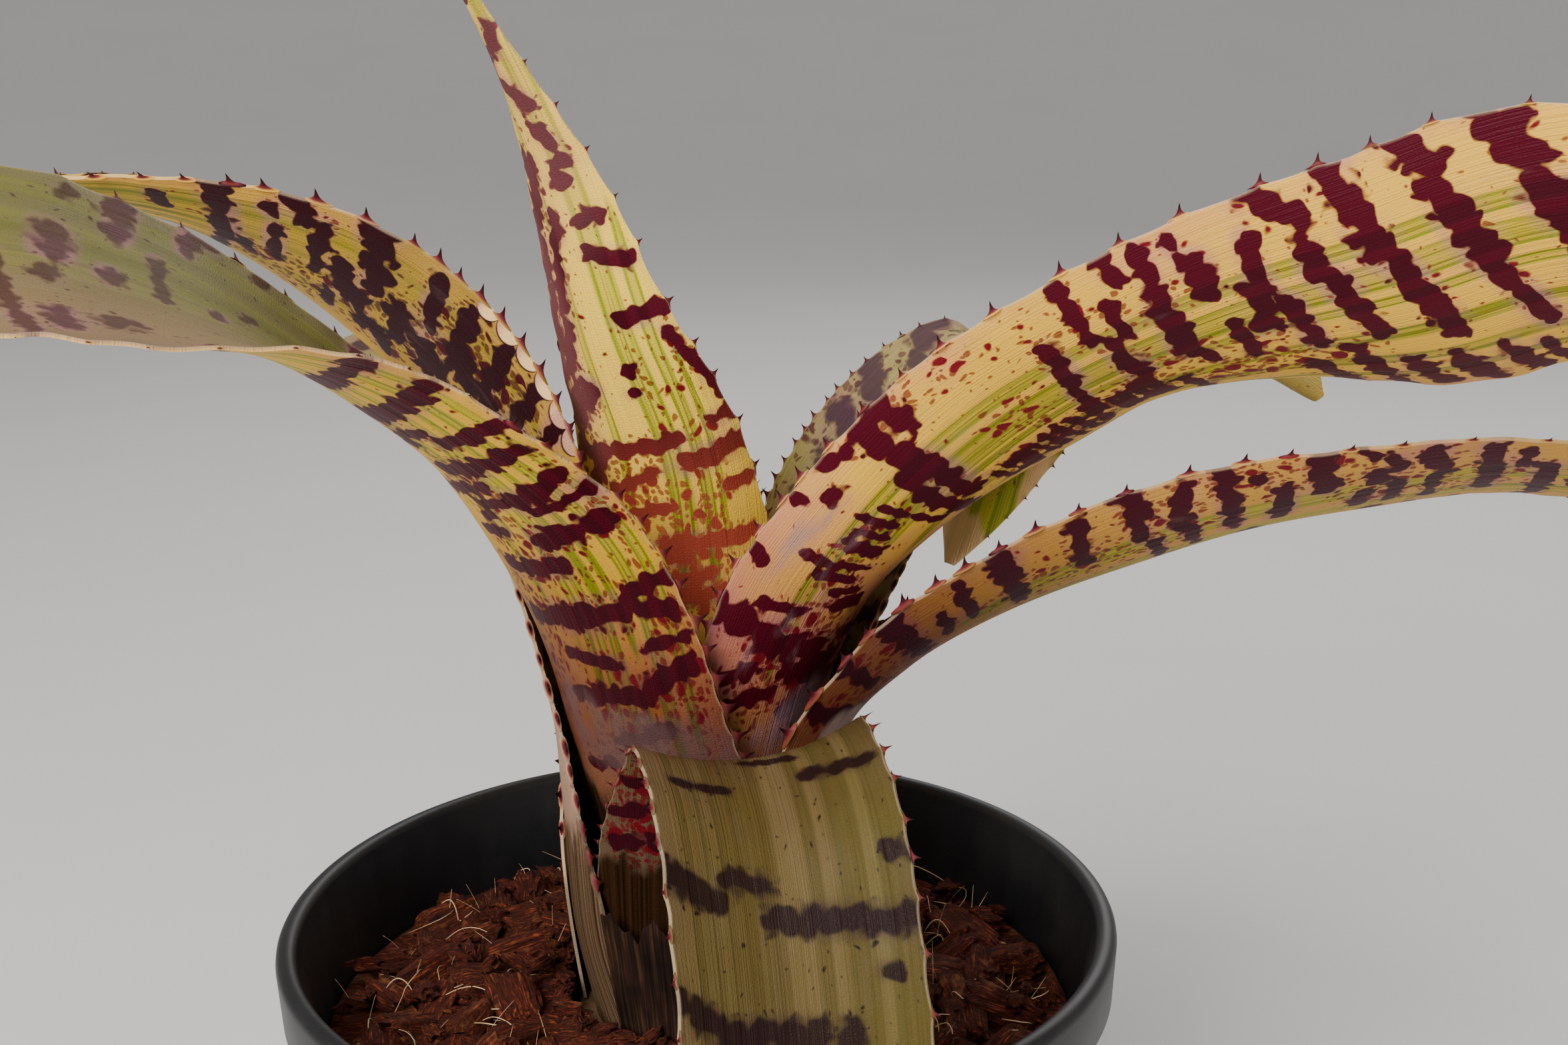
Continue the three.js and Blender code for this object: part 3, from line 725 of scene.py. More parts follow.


# One row for each leaf, from the heart outwards. Millimetres across from the midrib and along from the foot.
# turn, wrap, throat, width, taper, point, channel, twist and path give its form, as in the solids.
# bars: wine-red bars, as along and across of one end, the same of the other, and half the width.
# speckle, dusk and scurf: soft patches, as (along, across, half length, half width, strength). The dusk
# darkens the ground and the wine, partly a duskier tone of the skin and partly painted shade.
# lines: the green lines. shown: the part seen in the picture, (left, right, from, to), or None.
# rust, dim, flush: from where to where the lower bars turn rust red, the skin is darkened with painted shade
# low in the tank, and the ground is pink.
# stripes, upper_stripes: bands along a leaf, from its left margin, each as its place across and its colour.
# grey: how much bloom of scales. dry: how far up the papery foot goes. paper: its two colours.
# cream, pink, wine, halo, line_edge, leaf_green, deep_green, dusk_ground, dusk_wine, scurf_and_lit_tone: its colours.
# upper_share, upper_tone, upper_wine, upper_marks, upper_lines: how its upper face differs.
# notches and lobes: the margin that is drawn in evenly, and its bright lobes, painted light that stands for
# the lit leaf behind seen through the notches. rim: how pale the margin is.
# spine_steps, spine_size: spacing low and high on the leaf, and length. weak_margin: side, from, and share.
LEAVES = [
    {
        "name": "leaf_centre",
        "turn": -135, "wrap": 95, "throat": 50, "width": 49, "taper": 0.3, "point": 1.1,
        "channel": [80, 73, 58, 42, 50], "twist": [0, 12, 30, 13, -12],
        "path": [[6.5, 104.4], [9, 135], [10, 172], [12, 206], [22, 233], [30, 257], [38, 274],
                 [46, 288], [50, 294]],
        "bars": [(91, 1, 92, 17, 2.9), (100, 13, 100.5, 19, 2.2), (105.5, 7, 106, 18, 3.6),
                 (108, -14, 110, 6, 3.2), (111, 13, 111, 17, 2.6), (115, 16, 122, 14, 2.4),
                 (123, 13.5, 131, 11, 2), (134.5, 5, 135, 12, 3.6), (144.5, 8.5, 146.5, 3, 3.2),
                 (152.5, 3, 153, 5.5, 3.4), (159, 1.5, 160, 2.5, 3.2), (166.5, 2.6, 168.5, 1.4, 3.4),
                 (173, 1.6, 176, -1, 3.8), (183, 0, 187, 2, 3), (192, 0, 194, 1, 2.2),
                 (120.5, 2.2, 120.6, 2.3, 2.6), (124.3, 3.2, 124.8, 3.4, 3), (113, -15, 117, -12, 5),
                 (115, -12, 121, -7, 4.6), (120, -7, 122, -5, 3.2), (120, -15, 126, -12, 4),
                 (125, -10, 133, -7, 3.8), (126, -13, 134, -11, 3.4), (134, -11, 140, -8, 3.6),
                 (136, -6.5, 143, -4.4, 3), (142, -9, 148, -7, 3.2), (143, -5, 149, -3.6, 2.4),
                 (150, -8, 156, -5, 3), (150, -2.6, 153, -1.6, 3), (157, -5, 163, -3, 2.8),
                 (106, -16, 111, -13, 3.4), (102, -12, 107, -9, 3), (88, -2, 89, 5, 2.3),
                 (94, -8, 97, -4, 2.8), (97, -3, 98, 2, 2.2), (101, -7, 103, -3, 2.6),
                 (85, 4, 86, 9, 2), (104, -1, 105, 2, 2.2), (118, -11, 121, -9.5, 3.4),
                 (127, -11, 131, -9.5, 3.4), (139, -11, 143, -8.5, 3.2), (149, -9, 154, -7, 3),
                 (112, -17, 118, -15.6, 3.2), (160, -6, 164, -4.6, 2.6), (162, 2, 163, 4, 2.6),
                 (178, -3, 182, -2, 2.6)],
        "speckle": [(96, -5, 20, 14, 1.2), (96, 8, 14, 8, 0.8), (120, 9, 20, 8, 0.5),
                    (86, 3, 12, 14, 1.2), (132, -10, 36, 7, 0.8), (152, -6, 30, 8, 0.5),
                    (128, 13, 14, 4, 1.0)],
        "lines": [(5.4, 2.4, 3.2, 84, 215), (9.8, 7, 1.6, 86, 150), (-4.4, -3, 1.2, 96, 170),
                  (12.4, 9.6, 0.8, 90, 124)],
        "shown": (-20, 20, 88, 198), "rust": (84, 122), "grey": 0.15,
        "dusk": [(132, -14, 46, 13, 1.0), (172, 0, 34, 14, 0.7)],
        "dusk_ground": "#dca878", "dusk_wine": "#7c4a4c", "cream": "#fcd04c", "pink": "#eca870",
        "wine": "#4e0c1c", "spine_steps": (5.2, 9.5), "dim": (86, 122, 0.6),
    },
    {
        "name": "leaf_back_left",
        "turn": 170, "wrap": 90, "throat": 50, "width": 48, "taper": 0.6, "point": 1.6,
        "channel": [71, 55, 36, 24, 25], "twist": [-6, 7, 43, 6, -6],
        "path": [[8.3, 104.4], [11, 135], [17, 162], [28, 190], [40, 213], [57, 229], [78, 242],
                 [101, 251], [126, 253], [153, 247], [180, 237]],
        "bars": [(108, 6, 112, 14, 4.4), (114, 4, 117, 10, 5), (121, 8, 124, 13, 5),
                 (129, 2, 131, 8, 4.4), (133, 8, 139, 10, 3.6), (118, -3, 123, 2, 4),
                 (107, 18, 109, 23, 3), (137, -3, 140, 2, 3.6), (142, 13, 145, 24, 5.5),
                 (143, 0, 144, 9, 3), (147, 7, 149, 14, 4), (150, 0, 150, 5, 2.5),
                 (153, 10, 153, 21, 3.2), (156, 21, 158, 24, 4), (160, 8, 160, 16, 3),
                 (161, 20.5, 161.5, 21, 3), (165, 6, 165, 9, 2.2), (168.5, 8, 169.5, 24, 4.6),
                 (173, -3, 170, 6, 3), (178.5, 15, 179, 19, 3.2), (119, 13, 120, 22, 3.6),
                 (126, 9, 127, 21, 3.6), (132, 13, 134, 23, 3.4), (136, 4, 137, 12, 3.6),
                 (125, 3, 129, 7, 4), (112, 12, 114, 22, 3), (203, -19, 206, -10, 4)],
        "speckle": [(122, 12, 20, 14, 1.2), (140, 4, 16, 12, 1.0), (158, 4, 18, 10, 0.9)],
        "lines": [(15.5, 15, 7, 100, 250), (8.5, 8.5, 1.6, 130, 250), (21, 20.5, 1.2, 140, 250),
                  (3, 3, 2, 130, 250)],
        "shown": (-6, 25, 103, 190), "grey": 0.2,
        "dusk": [(128, 14, 34, 30, 1.0), (154, 6, 30, 18, 0.85)],
        "scurf": [(122, 10, 22, 16, 0.3)],
        "cream": "#d2a228", "pink": "#b47c4a", "line_edge": "#857a10", "leaf_green": "#5e660a",
        "deep_green": "#3a440c", "wine": "#2e040c", "upper_marks": 1.0, "scurf_and_lit_tone": "#6d5456",
        "dusk_ground": "#5f4c30", "dusk_wine": "#2c1216", "notches": (104, 138, 4.0), "lobes": (104, 128),
        "spine_steps": (4.8, 6.2), "spine_size": 2.5,
    },
    {
        "name": "leaf_right_back",
        "turn": 6, "wrap": 90, "throat": 50, "width": 34, "taper": 0.5, "point": 4,
        "channel": [60, 60, 60, 50, 35], "twist": [0, 0, 0, -10, -45],
        "path": [[10.1, 104.4], [13, 135], [17, 158], [21.5, 180], [30, 198], [42, 212], [57, 221],
                 [73, 226], [88, 227], [101, 223.5], [111, 215.5]],
        "bars": [],
        "speckle": [],
        "lines": [(0, 0, 2.4, 70, 160), (-5, -4, 1.2, 60, 150), (6, 5, 1.6, 60, 150)],
        "shown": None, "grey": 0.3, "cream": "#b9a352", "pink": "#b08a58",
    },
    {
        "name": "leaf_right",
        "turn": -28, "wrap": 90, "throat": 44, "width": 51, "taper": 0.75, "point": 1.6,
        "channel": [76, 70, 41, 31, 27], "twist": [4, -4, -27, -54, -66],
        "path": [[11.9, 104.4], [15.3, 135], [19.5, 162], [28, 184], [41, 200], [57, 215], [76, 228],
                 [97, 237], [120, 244], [143, 252], [170, 252], [199, 248]],
        "bars": [(80, -26, 79, -16, 4.6), (77, -16, 76, -6, 5.4), (72, -10, 69, 4, 4.2),
                 (74.5, -7, 73, 2, 3), (85, -8, 85, -1, 2.4), (90, -26, 89, -23, 2.4),
                 (93, -18, 93, -12, 2), (94, -11, 94, -5, 1.9), (98, -13, 98.5, -6, 2.4),
                 (100, -25, 101, -24, 2.6), (103.8, -14, 104, -7, 1.8), (104, -20.4, 105, -20, 3.4),
                 (107, -25, 111, -23.5, 2.8), (116, -24, 116.5, -12, 6), (120, -25, 121, -20.5, 5),
                 (117.5, -12, 115.5, 1, 4.8), (112.5, -12, 110.5, 7, 4), (107, -6, 107, 2, 2),
                 (126, 0, 125, 9, 4), (129, 1, 129, 9, 1.8), (131.7, 1, 131.5, 10, 2.2),
                 (134.3, 0, 134, 11, 1.8), (137, 1, 137, 12, 2.2), (141, 0, 139.5, 11, 2.6),
                 (142.5, -6, 142.5, 5, 2.4), (145, -17, 144, -8, 3.2), (151, -25, 151, -14, 2.6),
                 (156, -19, 155.5, -12, 2.6), (153.5, -11, 152, 8, 4), (157, 4, 157.5, 13, 3),
                 (158, -26, 158.5, -22, 3), (162.5, -24, 162.5, -16, 3.2), (162, -14, 162, -4, 4.6),
                 (163, -2, 164, 1, 2.4), (167, -24, 167.5, -21, 2), (169, -19, 169, -13, 4),
                 (170, -6, 170, 2, 3), (177, -20, 176, -12, 3.2), (175, -11, 174, -4, 5),
                 (178.5, -7, 179.5, 3, 3.4), (178, -26, 184, -20.5, 3.8), (184, -19, 184, -11, 3.6),
                 (186, -10, 189, 3, 4.2), (190, -26, 194, -12, 6), (195, -11, 199, 6, 4.6),
                 (202, -26, 206, -20.5, 5), (205, -18, 208, -5, 5), (208, -4, 212, 10, 4),
                 (213, -26, 218, -9, 5), (219, -8, 222, 8, 4.4), (177, 10, 179, 21, 4.4),
                 (184, 6, 187, 24, 3.8), (191, 12, 193, 23, 3.8), (197, 13, 199, 24, 4),
                 (203, 14, 206, 24, 3.8), (209, 16, 211, 24, 3), (216, 15, 219, 23, 4),
                 (88, -9, 88.5, -3, 1.9), (90.5, -14, 91, -6, 1.8), (97, -13, 97.5, -5, 1.7),
                 (100.8, -13, 101, -6, 1.7), (66, -19, 68, -13, 3.2), (64, -9, 66, -1, 3.2),
                 (70, -22, 72, -17, 3.2), (83, -20, 83.5, -12, 2), (106.5, -12, 107, -5, 1.8),
                 (86, -7, 87, -1, 2), (120.5, 1, 120.5, 8, 2), (123, 1, 122.6, 8, 2.2),
                 (147, 1, 146, 9, 2.2), (144.5, 2, 144, 10, 2), (149.5, 0, 149, 9, 2.2),
                 (68, 4, 70, 10, 3), (78, 2, 77, 8, 3), (61, -4, 62, 4, 3)],
        "speckle": [(133, -8, 9, 8, 0.9), (172, 7, 20, 7, 1.1), (136, 5, 22, 8, 0.8),
                    (94, -9, 18, 9, 0.7), (160, 1, 26, 9, 0.75), (150, -18, 30, 8, 0.4),
                    (126, -23, 20, 4, 0.8), (72, -6, 18, 18, 1.2)],
        "lines": [(-13.5, -13, 2.2, 74, 240), (-9.6, -9, 1.1, 84, 240), (-5, -6.5, 2, 100, 240),
                  (-2.2, -2.5, 0.8, 110, 240), (1.6, 4.6, 1.8, 100, 240), (5.4, 11.5, 1.8, 120, 240),
                  (-7.4, -7.8, 0.7, 100, 220), (15, 17, 1.2, 60, 240)],
        "shown": (-26, 26, 60, 219), "grey": 0.15, "cream": "#dcaa38", "pink": "#c67a68",
        "scurf": [(60, 0, 14, 18, 0.8), (80, -14, 14, 11, 0.3), (95, -17, 18, 9, 0.4)],
        "scurf_and_lit_tone": "#8a6c74", "dim": (62, 112, 0.7), "flush": (62, 130), "line_edge": "#98901a",
        "leaf_green": "#66740c", "deep_green": "#41520a",
    },
    {
        "name": "leaf_back_right",
        "turn": 37, "wrap": 90, "throat": 52, "width": 40, "taper": 0.5, "point": 3,
        "channel": [65, 60, 51, 48, 30], "twist": [0, 4, 10, -1, -12],
        "path": [[13.7, 104.4], [17.2, 135], [22.5, 159], [31, 180], [43.5, 197.5], [57.5, 210.5],
                 [70, 216], [73, 211], [66, 196], [57.5, 178.5]],
        "bars": [(96, 8, 99, 14, 5), (104, 14, 107, 18, 5), (110, 4, 113, 11, 6), (113, 14, 117, 19, 5),
                 (122, 8, 124, 13, 5), (127, 15, 131, 19, 5), (134, 6, 137, 11, 6),
                 (141, 14, 144, 19, 5), (148, 8, 150, 13, 5), (152, 4, 155, 8, 4)],
        "speckle": [(120, 17, 50, 7, 0.7), (110, 2, 50, 10, 0.2)],
        "lines": [(7, 7, 3.4, 60, 210), (0, 0, 4, 60, 215), (14, 14, 2.6, 80, 170), (-7, -7, 3, 60, 215)],
        "shown": (-24, 21, 88, 206), "grey": 0.15, "cream": "#bcb43c", "pink": "#cc9080",
        "upper_share": 0.35, "upper_tone": "#9c9c48", "dim": (150, 151, 0.25), "line_edge": "#a2a634",
        "leaf_green": "#83902c", "deep_green": "#5f6f2a", "wine": "#3a1c30",
        "dusk": [(120, 16, 60, 8, 0.9)],
        "dusk_ground": "#ac8880", "dusk_wine": "#3e2640",
        # The scurf patches near the tip are partly real scurf and partly painted light: their pale cream
        # brightens a tip that lies in shade.
        "scurf": [(172, 2, 10, 12, 1.2), (158, -13, 14, 6, 1.1), (158, 13, 14, 6, 1.1)],
        "scurf_and_lit_tone": "#efc29a", "spine_steps": (3.2, 3.8), "spine_size": 1.8,
    },
    {
        "name": "leaf_left",
        "turn": -145, "wrap": 85, "throat": 64, "width": 52, "taper": 0.7, "point": 1.6,
        "channel": [75, 69, 41, 22, 23], "twist": [8, 18, -2, -23, -8],
        "path": [[15.5, 104.4], [19, 135], [25, 162], [32, 188], [46, 210], [63, 226], [81, 239],
                 [98, 247], [117, 253], [137, 251], [157, 244], [177, 234]],
        "bars": [(54, 0, 56, 7, 2.6), (61, 10, 65, 20, 3), (69, 2, 70.5, 16, 4),
                 (72, 18, 76.5, 25, 4.2), (77, 2, 76, 13, 2.6), (79, 19, 81, 26, 2.4),
                 (84, 2, 85.5, 17, 5), (83, -6, 83, 2, 4), (86, 19, 85, 25, 3.4), (88.5, 19, 90, 26, 3),
                 (94, -5, 95, 11, 4), (101, 10, 102, 22, 5), (102, -4, 103, 2, 3),
                 (106, 0, 107, 3, 2.6), (107, 13, 108, 23, 2), (108, 25, 109, 26, 3.6),
                 (110, 2, 110, 10, 2.6), (110, 12, 113, 23, 4.8), (112, -6, 114.5, 8, 3.2),
                 (119, 2, 121, 23, 4.6), (125, -4, 127, 4, 3), (127, 12, 127, 26, 3.6),
                 (129, 2, 130.5, 11, 3), (135, 2, 140, 24, 5.2), (147, 5, 152, 25, 5.2),
                 (134, -8, 135, 0, 4), (163, -26, 164, -22, 3), (174, -25, 176, -18, 4),
                 (131, -26, 131.5, -25.5, 2.4), (150, -26.5, 151, -25.5, 3),
                 (159.5, -27, 160.5, -26, 2.8), (175, -26, 176, -23, 5), (183, -24, 183.5, -23.5, 3),
                 (177, -19, 177.5, -18.5, 2.6), (169.5, -15, 170.5, -4, 2.8), (186, -14, 187, -8, 5),
                 (178, -6, 178.5, -5.6, 4.6), (161, -6, 161.5, -5, 2.6), (189, -2, 189.5, -1, 4),
                 (181, 12, 182, 13, 6.4), (190.5, 12, 191.5, 18, 5), (171, 22, 172, 24, 3.4),
                 (154, -12, 155, -10, 2.4)],
        "speckle": [(120, 6, 26, 8, 0.8), (104, 3, 24, 9, 0.8), (76, 24, 22, 6, 0.9),
                    (100, 24, 24, 5, 0.6), (80, -4, 26, 8, 0.8), (66, 12, 14, 18, 0.6),
                    (88, 14, 20, 9, 0.45)],
        "lines": [(13.5, 11.5, 1.3, 60, 165), (10.8, 8.4, 0.9, 64, 165), (8, 5, 0.9, 66, 165),
                  (16.5, 15, 0.8, 60, 165), (20.5, 19, 1.7, 60, 170), (24.3, 23.2, 1.4, 64, 165),
                  (5, 2, 0.9, 70, 160), (1.5, -1, 0.9, 90, 160), (-22, -22, 2.6, 130, 260),
                  (-12, -13, 6, 135, 260), (-8.5, -8.5, 1.6, 130, 260), (-4, -4, 3.4, 130, 260)],
        "shown": (-27, 27, 50, 192), "grey": 0.2, "dry": 52, "cream": "#e2b030", "pink": "#c68462",
        "upper_share": 0.96, "upper_wine": "#36141a", "upper_lines": 0.12,
        "upper_stripes": [(-27, "#6a6544"), (-21, "#5c5b38"), (-16, "#64603d"), (-12, "#4c4e2c"),
                          (-8, "#605b3a"), (-3, "#69603d"), (3, "#726042"), (12, "#7e674b"),
                          (27, "#77604b")],
        "upper_marks": 0.76,
        "scurf": [(60, 14, 12, 26, 0.8), (64, 0, 10, 12, 0.6)],
        "scurf_and_lit_tone": "#55403e", "dim": (66, 116, 1.0), "spine_size": 2.3, "weak_margin": (1, 126, 0.4),
    },
    {
        "name": "leaf_right_low",
        "turn": -5, "wrap": 80, "throat": 36, "width": 42, "taper": 0.65, "point": 1.6,
        "channel": [63, 52, 36, 14, 22], "twist": [2, -12, -28, -27, -46],
        "path": [[17.3, 104.4], [22.4, 135], [24.5, 158], [36, 171], [52, 181], [71, 190], [91, 197],
                 [113, 202], [135, 206], [156, 205], [178, 202], [199, 196]],
        "bars": [(61, -20, 62, -6, 3.2), (68, -21, 68, -12, 3), (77, -21, 77, -7, 4.2),
                 (84, -15, 83, -8, 2.4), (89, -19, 88, -10, 3), (97, -21, 96, -6, 4.6),
                 (110, -20, 109, -9, 4), (119, -21, 120, -16, 5.2), (119.5, -15, 119, -9, 3),
                 (121, -7, 121, 2, 2.8), (127.5, -20, 126, -10, 4), (127, -8, 127, 1, 3),
                 (134.5, -21, 134, -3, 3.6), (139, -18, 139.5, -17, 2.8), (143, -13, 142, -3, 4.2),
                 (149, -21, 150, -11, 4.6), (156, -21, 158, -19, 2.4), (158, -14, 159, -10, 4),
                 (156, -6, 155, 1, 3.8), (161, -19, 162, -14, 3.2), (162, -9, 161, 1, 3),
                 (167, -18, 169, -10, 4.6), (168, -9, 167.5, 4, 2.8), (176, -17, 177, 2, 4.2),
                 (181, -16, 181, -9, 2.6), (185, -10, 187, 8, 4), (191, -12, 192, 0, 3.4)],
        "speckle": [(66, -12, 18, 12, 0.9), (140, -17, 44, 7, 0.8), (110, -8, 34, 10, 0.65),
                    (168, -5, 24, 12, 0.8)],
        "lines": [(-8.5, -8.5, 2.4, 88, 230), (-5.4, -5, 1.2, 88, 230), (0, 2.5, 2.2, 80, 230),
                  (4, 6, 1.4, 80, 230)],
        "shown": (-22, 3, 57, 193), "grey": 0.1, "cream": "#c4903e", "pink": "#b87c56", "wine": "#3e0716",
        "spine_steps": (5.5, 8.5), "dim": (66, 136, 0.95),
        "scurf": [(58, -8, 8, 10, 0.8)],
        "scurf_and_lit_tone": "#8f7c74",
    },
    {
        "name": "leaf_left_old",
        "turn": 148, "wrap": 85, "throat": 59, "width": 36, "taper": 0.6, "point": 2,
        "channel": [51, 50, 46, 40, 35], "twist": [0, 0, 0, 0, 0],
        "path": [[22, 104.4], [25.5, 124], [26.6, 147], [28, 164], [33, 181], [43, 196], [55, 208],
                 [67, 215], [77, 220], [85, 221], [91, 217]],
        "bars": [],
        "speckle": [],
        "lines": [(0, 0, 2, 60, 150), (7, 7, 1.2, 60, 150), (-7, -7, 1.2, 60, 150)],
        "shown": None, "grey": 0.5, "dry": 44, "cream": "#c4a274", "pink": "#b88e6c", "wine": "#4a2c34",
        "paper": ("#2c1c12", "#6e563f"), "rim": 0.1,
    },
    {
        "name": "leaf_front",
        "turn": -79, "wrap": 75, "throat": 46, "width": 39, "taper": 0.8, "point": 1.6,
        "channel": [48, 43, 37, 28, 20], "twist": [3, 5, -3, -2, 0],
        "path": [[19.5, 104.4], [24.7, 135], [30.5, 151], [37, 163], [44, 169], [54, 168], [65, 163],
                 [75, 151], [83, 134], [89, 112], [94, 87], [98, 61], [101, 34]],
        "bars": [(98, -20, 101.5, -11, 4), (98.5, -9, 99.5, -3, 3.6), (105, -2, 107, 20, 4.2),
                 (97, 17, 98, 20, 3), (115, -20, 119, -14, 4), (121, -12, 122.5, 8, 4.4),
                 (114, 14, 114.3, 16, 2.4), (81, -15, 82, -6, 2), (80, 7, 82.5, 18, 2.6),
                 (74, -2, 74.5, 6, 1.8), (52, -22, 54, -16, 3.6), (44, -22, 46, -14, 4),
                 (60, -20, 61, -17, 3)],
        "speckle": [(52, -18, 24, 8, 1.4)],
        "lines": [(-15, -15, 1.4, 60, 235), (-11.5, -11.5, 1, 70, 235), (-8.6, -8.8, 1.2, 60, 235),
                  (-5.4, -5.6, 1.4, 60, 235), (-1.2, -1.2, 1.6, 60, 235), (5.1, 5, 2, 60, 235),
                  (9.2, 9, 1.2, 60, 235), (12.2, 12, 1.2, 60, 235), (15.8, 15.8, 1, 60, 235)],
        "shown": (-20, 20, 40, 124), "grey": 0.12, "dry": 44,
        # Painted shade: this whole leaf's stripes, lines, wine, halo and dusk colours are made dark to paint
        # the shade that it lies in.
        "stripes": [(-20, "#574a35"), (-16, "#534530"), (-15.2, "#2d2717"), (-14.2, "#3d3423"),
                    (-9.6, "#3c3321"), (-8.6, "#242012"), (-1.2, "#211d10"), (-0.2, "#4c402c"),
                    (3.8, "#4f432e"), (4.5, "#242212"), (5.9, "#252512"), (6.4, "#4d432e"),
                    (8.4, "#483f2a"), (9, "#21260f"), (12.6, "#252911"), (13.3, "#49442a"),
                    (14.7, "#484429"), (15.3, "#262c13"), (19.6, "#21270f")],
        "line_edge": "#363414", "leaf_green": "#272d0a", "deep_green": "#1a2009", "wine": "#3a0a16",
        "halo": "#2c1818",
        "dusk": [(110, 0, 70, 40, 0.8)],
        "dusk_ground": "#3d331f", "dusk_wine": "#170a0b", "upper_share": 0.0, "upper_marks": 0.93,
        "upper_wine": "#1c0c0e", "upper_lines": 0.15, "spine_size": 1.4,
    },
    {
        "name": "leaf_back",
        "turn": 100, "wrap": 80, "throat": 50, "width": 42, "taper": 0.6, "point": 1.6,
        "channel": [50, 45, 40, 35, 30], "twist": [0, 0, 0, 0, 0],
        "path": [[24.4, 104.4], [28.4, 130], [31.5, 148], [38, 164], [49, 174], [66, 178], [85, 175],
                 [104, 165], [120, 149], [131, 130]],
        "bars": [],
        "speckle": [],
        "lines": [(-9, -9, 2, 60, 170), (-3, -3, 2.4, 60, 170), (4, 4, 2, 60, 170), (10, 10, 2, 60, 170)],
        "shown": None, "grey": 0.4,
    },
]


def all_bars(leaf, number, length):
    """The bars seen in the picture, and bars by the rule wherever it shows nothing of the leaf."""
    dice = np.random.default_rng(BAR_SEED + number)
    half = leaf["width"] / 2
    if leaf["shown"] is None:
        return leaf["bars"] + rule_bars(dice, 26, length - 8, -half, half)
    left, right, start, end = leaf["shown"]
    bars = leaf["bars"] + rule_bars(dice, 26, start - 4, -half, half)
    bars += rule_bars(dice, end + 6, length - 6, -half, half)
    if left > -half + 6:
        bars += rule_bars(dice, start, end, -half, left - 1)
    if right < half - 6:
        bars += rule_bars(dice, start, end, right + 1, half)
    return bars


def spine_places(leaf, number, length):
    """Where the spines stand on the two margins, in millimetres from the foot: closer low on the leaf."""
    dice = np.random.default_rng(SPACING_SEED + number)
    low_step, high_step = leaf.get("spine_steps", (4.8, 9.0))
    margins = {}
    for side in (-1, 1):
        spots = [30 + dice.uniform(0, 4)]
        while spots[-1] < length - 6:
            high = float(smoothstep(np.array(spots[-1]), 70, 135))
            spots.append(spots[-1] + (low_step + (high_step - low_step) * high) * dice.uniform(0.78, 1.25))
        spots = np.array(spots[:-1])
        if side > 0 and "notches" in leaf:
            start, end, step = leaf["notches"]
            outside = (spots < start - step / 2) | (spots > end + step / 2)
            spots = np.sort(np.concatenate([spots[outside], np.arange(start, end, step)]))
        margins[side] = spots
    return margins


def margin_dip(spots, along, length):
    """How far the margin is drawn in, in millimetres: a hollow arc from each spine to the next."""
    k = np.clip(np.searchsorted(spots, along), 1, len(spots) - 1)
    gap = spots[k] - spots[k - 1]
    share = np.clip((along - spots[k - 1]) / gap, 0, 1)
    arc = np.sqrt(np.clip(4 * share * (1 - share), 0, 1))
    shown = smoothstep(along, spots[0], spots[0] + 8) * (1 - smoothstep(along, length - 22, length - 6))
    depth = (0.13 - 0.06 * smoothstep(along, 80, 140)) * gap
    return np.minimum(depth, 0.8) * arc * shown


def write_values(mesh, name, values):
    mesh.attributes.new(name, "FLOAT", "POINT").data.foreach_set("value", np.asarray(values, np.float32))


def write_map(mesh, across, along):
    """The leaf's own map: millimetres across from the midrib, and along from the foot."""
    corners = np.zeros(len(mesh.loops), np.int32)
    mesh.loops.foreach_get("vertex_index", corners)
    layer = mesh.uv_layers.get("leaf map") or mesh.uv_layers.new(name="leaf map")
    layer.data.foreach_set("uv", np.stack([across[corners], along[corners]], 1).ravel())


def leaf_values(leaf, number, across, along, half_width, length):
    """Everything that the skin reads, for points in millimetres across and along."""
    bars = all_bars(leaf, number, length)
    half = leaf["width"] / 2
    marks = mark_field(across, along, bars)
    tank = 1 - smoothstep(along, 40, leaf["throat"] + 20)
    dry = leaf.get("dry", 26)
    pink_from, pink_to = leaf.get("flush", (52, 104))
    blush = 0.85 * (1 - smoothstep(along, pink_from, pink_to))
    blush += 0.35 * smoothstep(np.abs(across) / half, 0.7, 1.0)
    dim_from, dim_to, dim_share = leaf.get("dim", (40, 90, 0.4))
    return {
        "marks": marks,
        "speckle": soft_patch(across, along, leaf["speckle"]) + FINE_SPECKLE,
        "green": line_field(across, along, leaf["lines"]),
        "scurf": 0.8 * tank + 0.02,
        "scurf_patches_and_painted_light": soft_patch(across, along, leaf.get("scurf", [])),
        # Painted shade low on the leaf, in the tank: how far the colour is darkened towards TANK_SHADE.
        "dim": dim_share * (1 - smoothstep(along, dim_from, dim_to)),
        "blush": np.clip(blush, 0, 1),
        "old": 1 - smoothstep(along, dry - 16, dry + 8),
        "dusk": soft_patch(across, along, leaf.get("dusk", [])),
        "inset": half_width - across,
    }


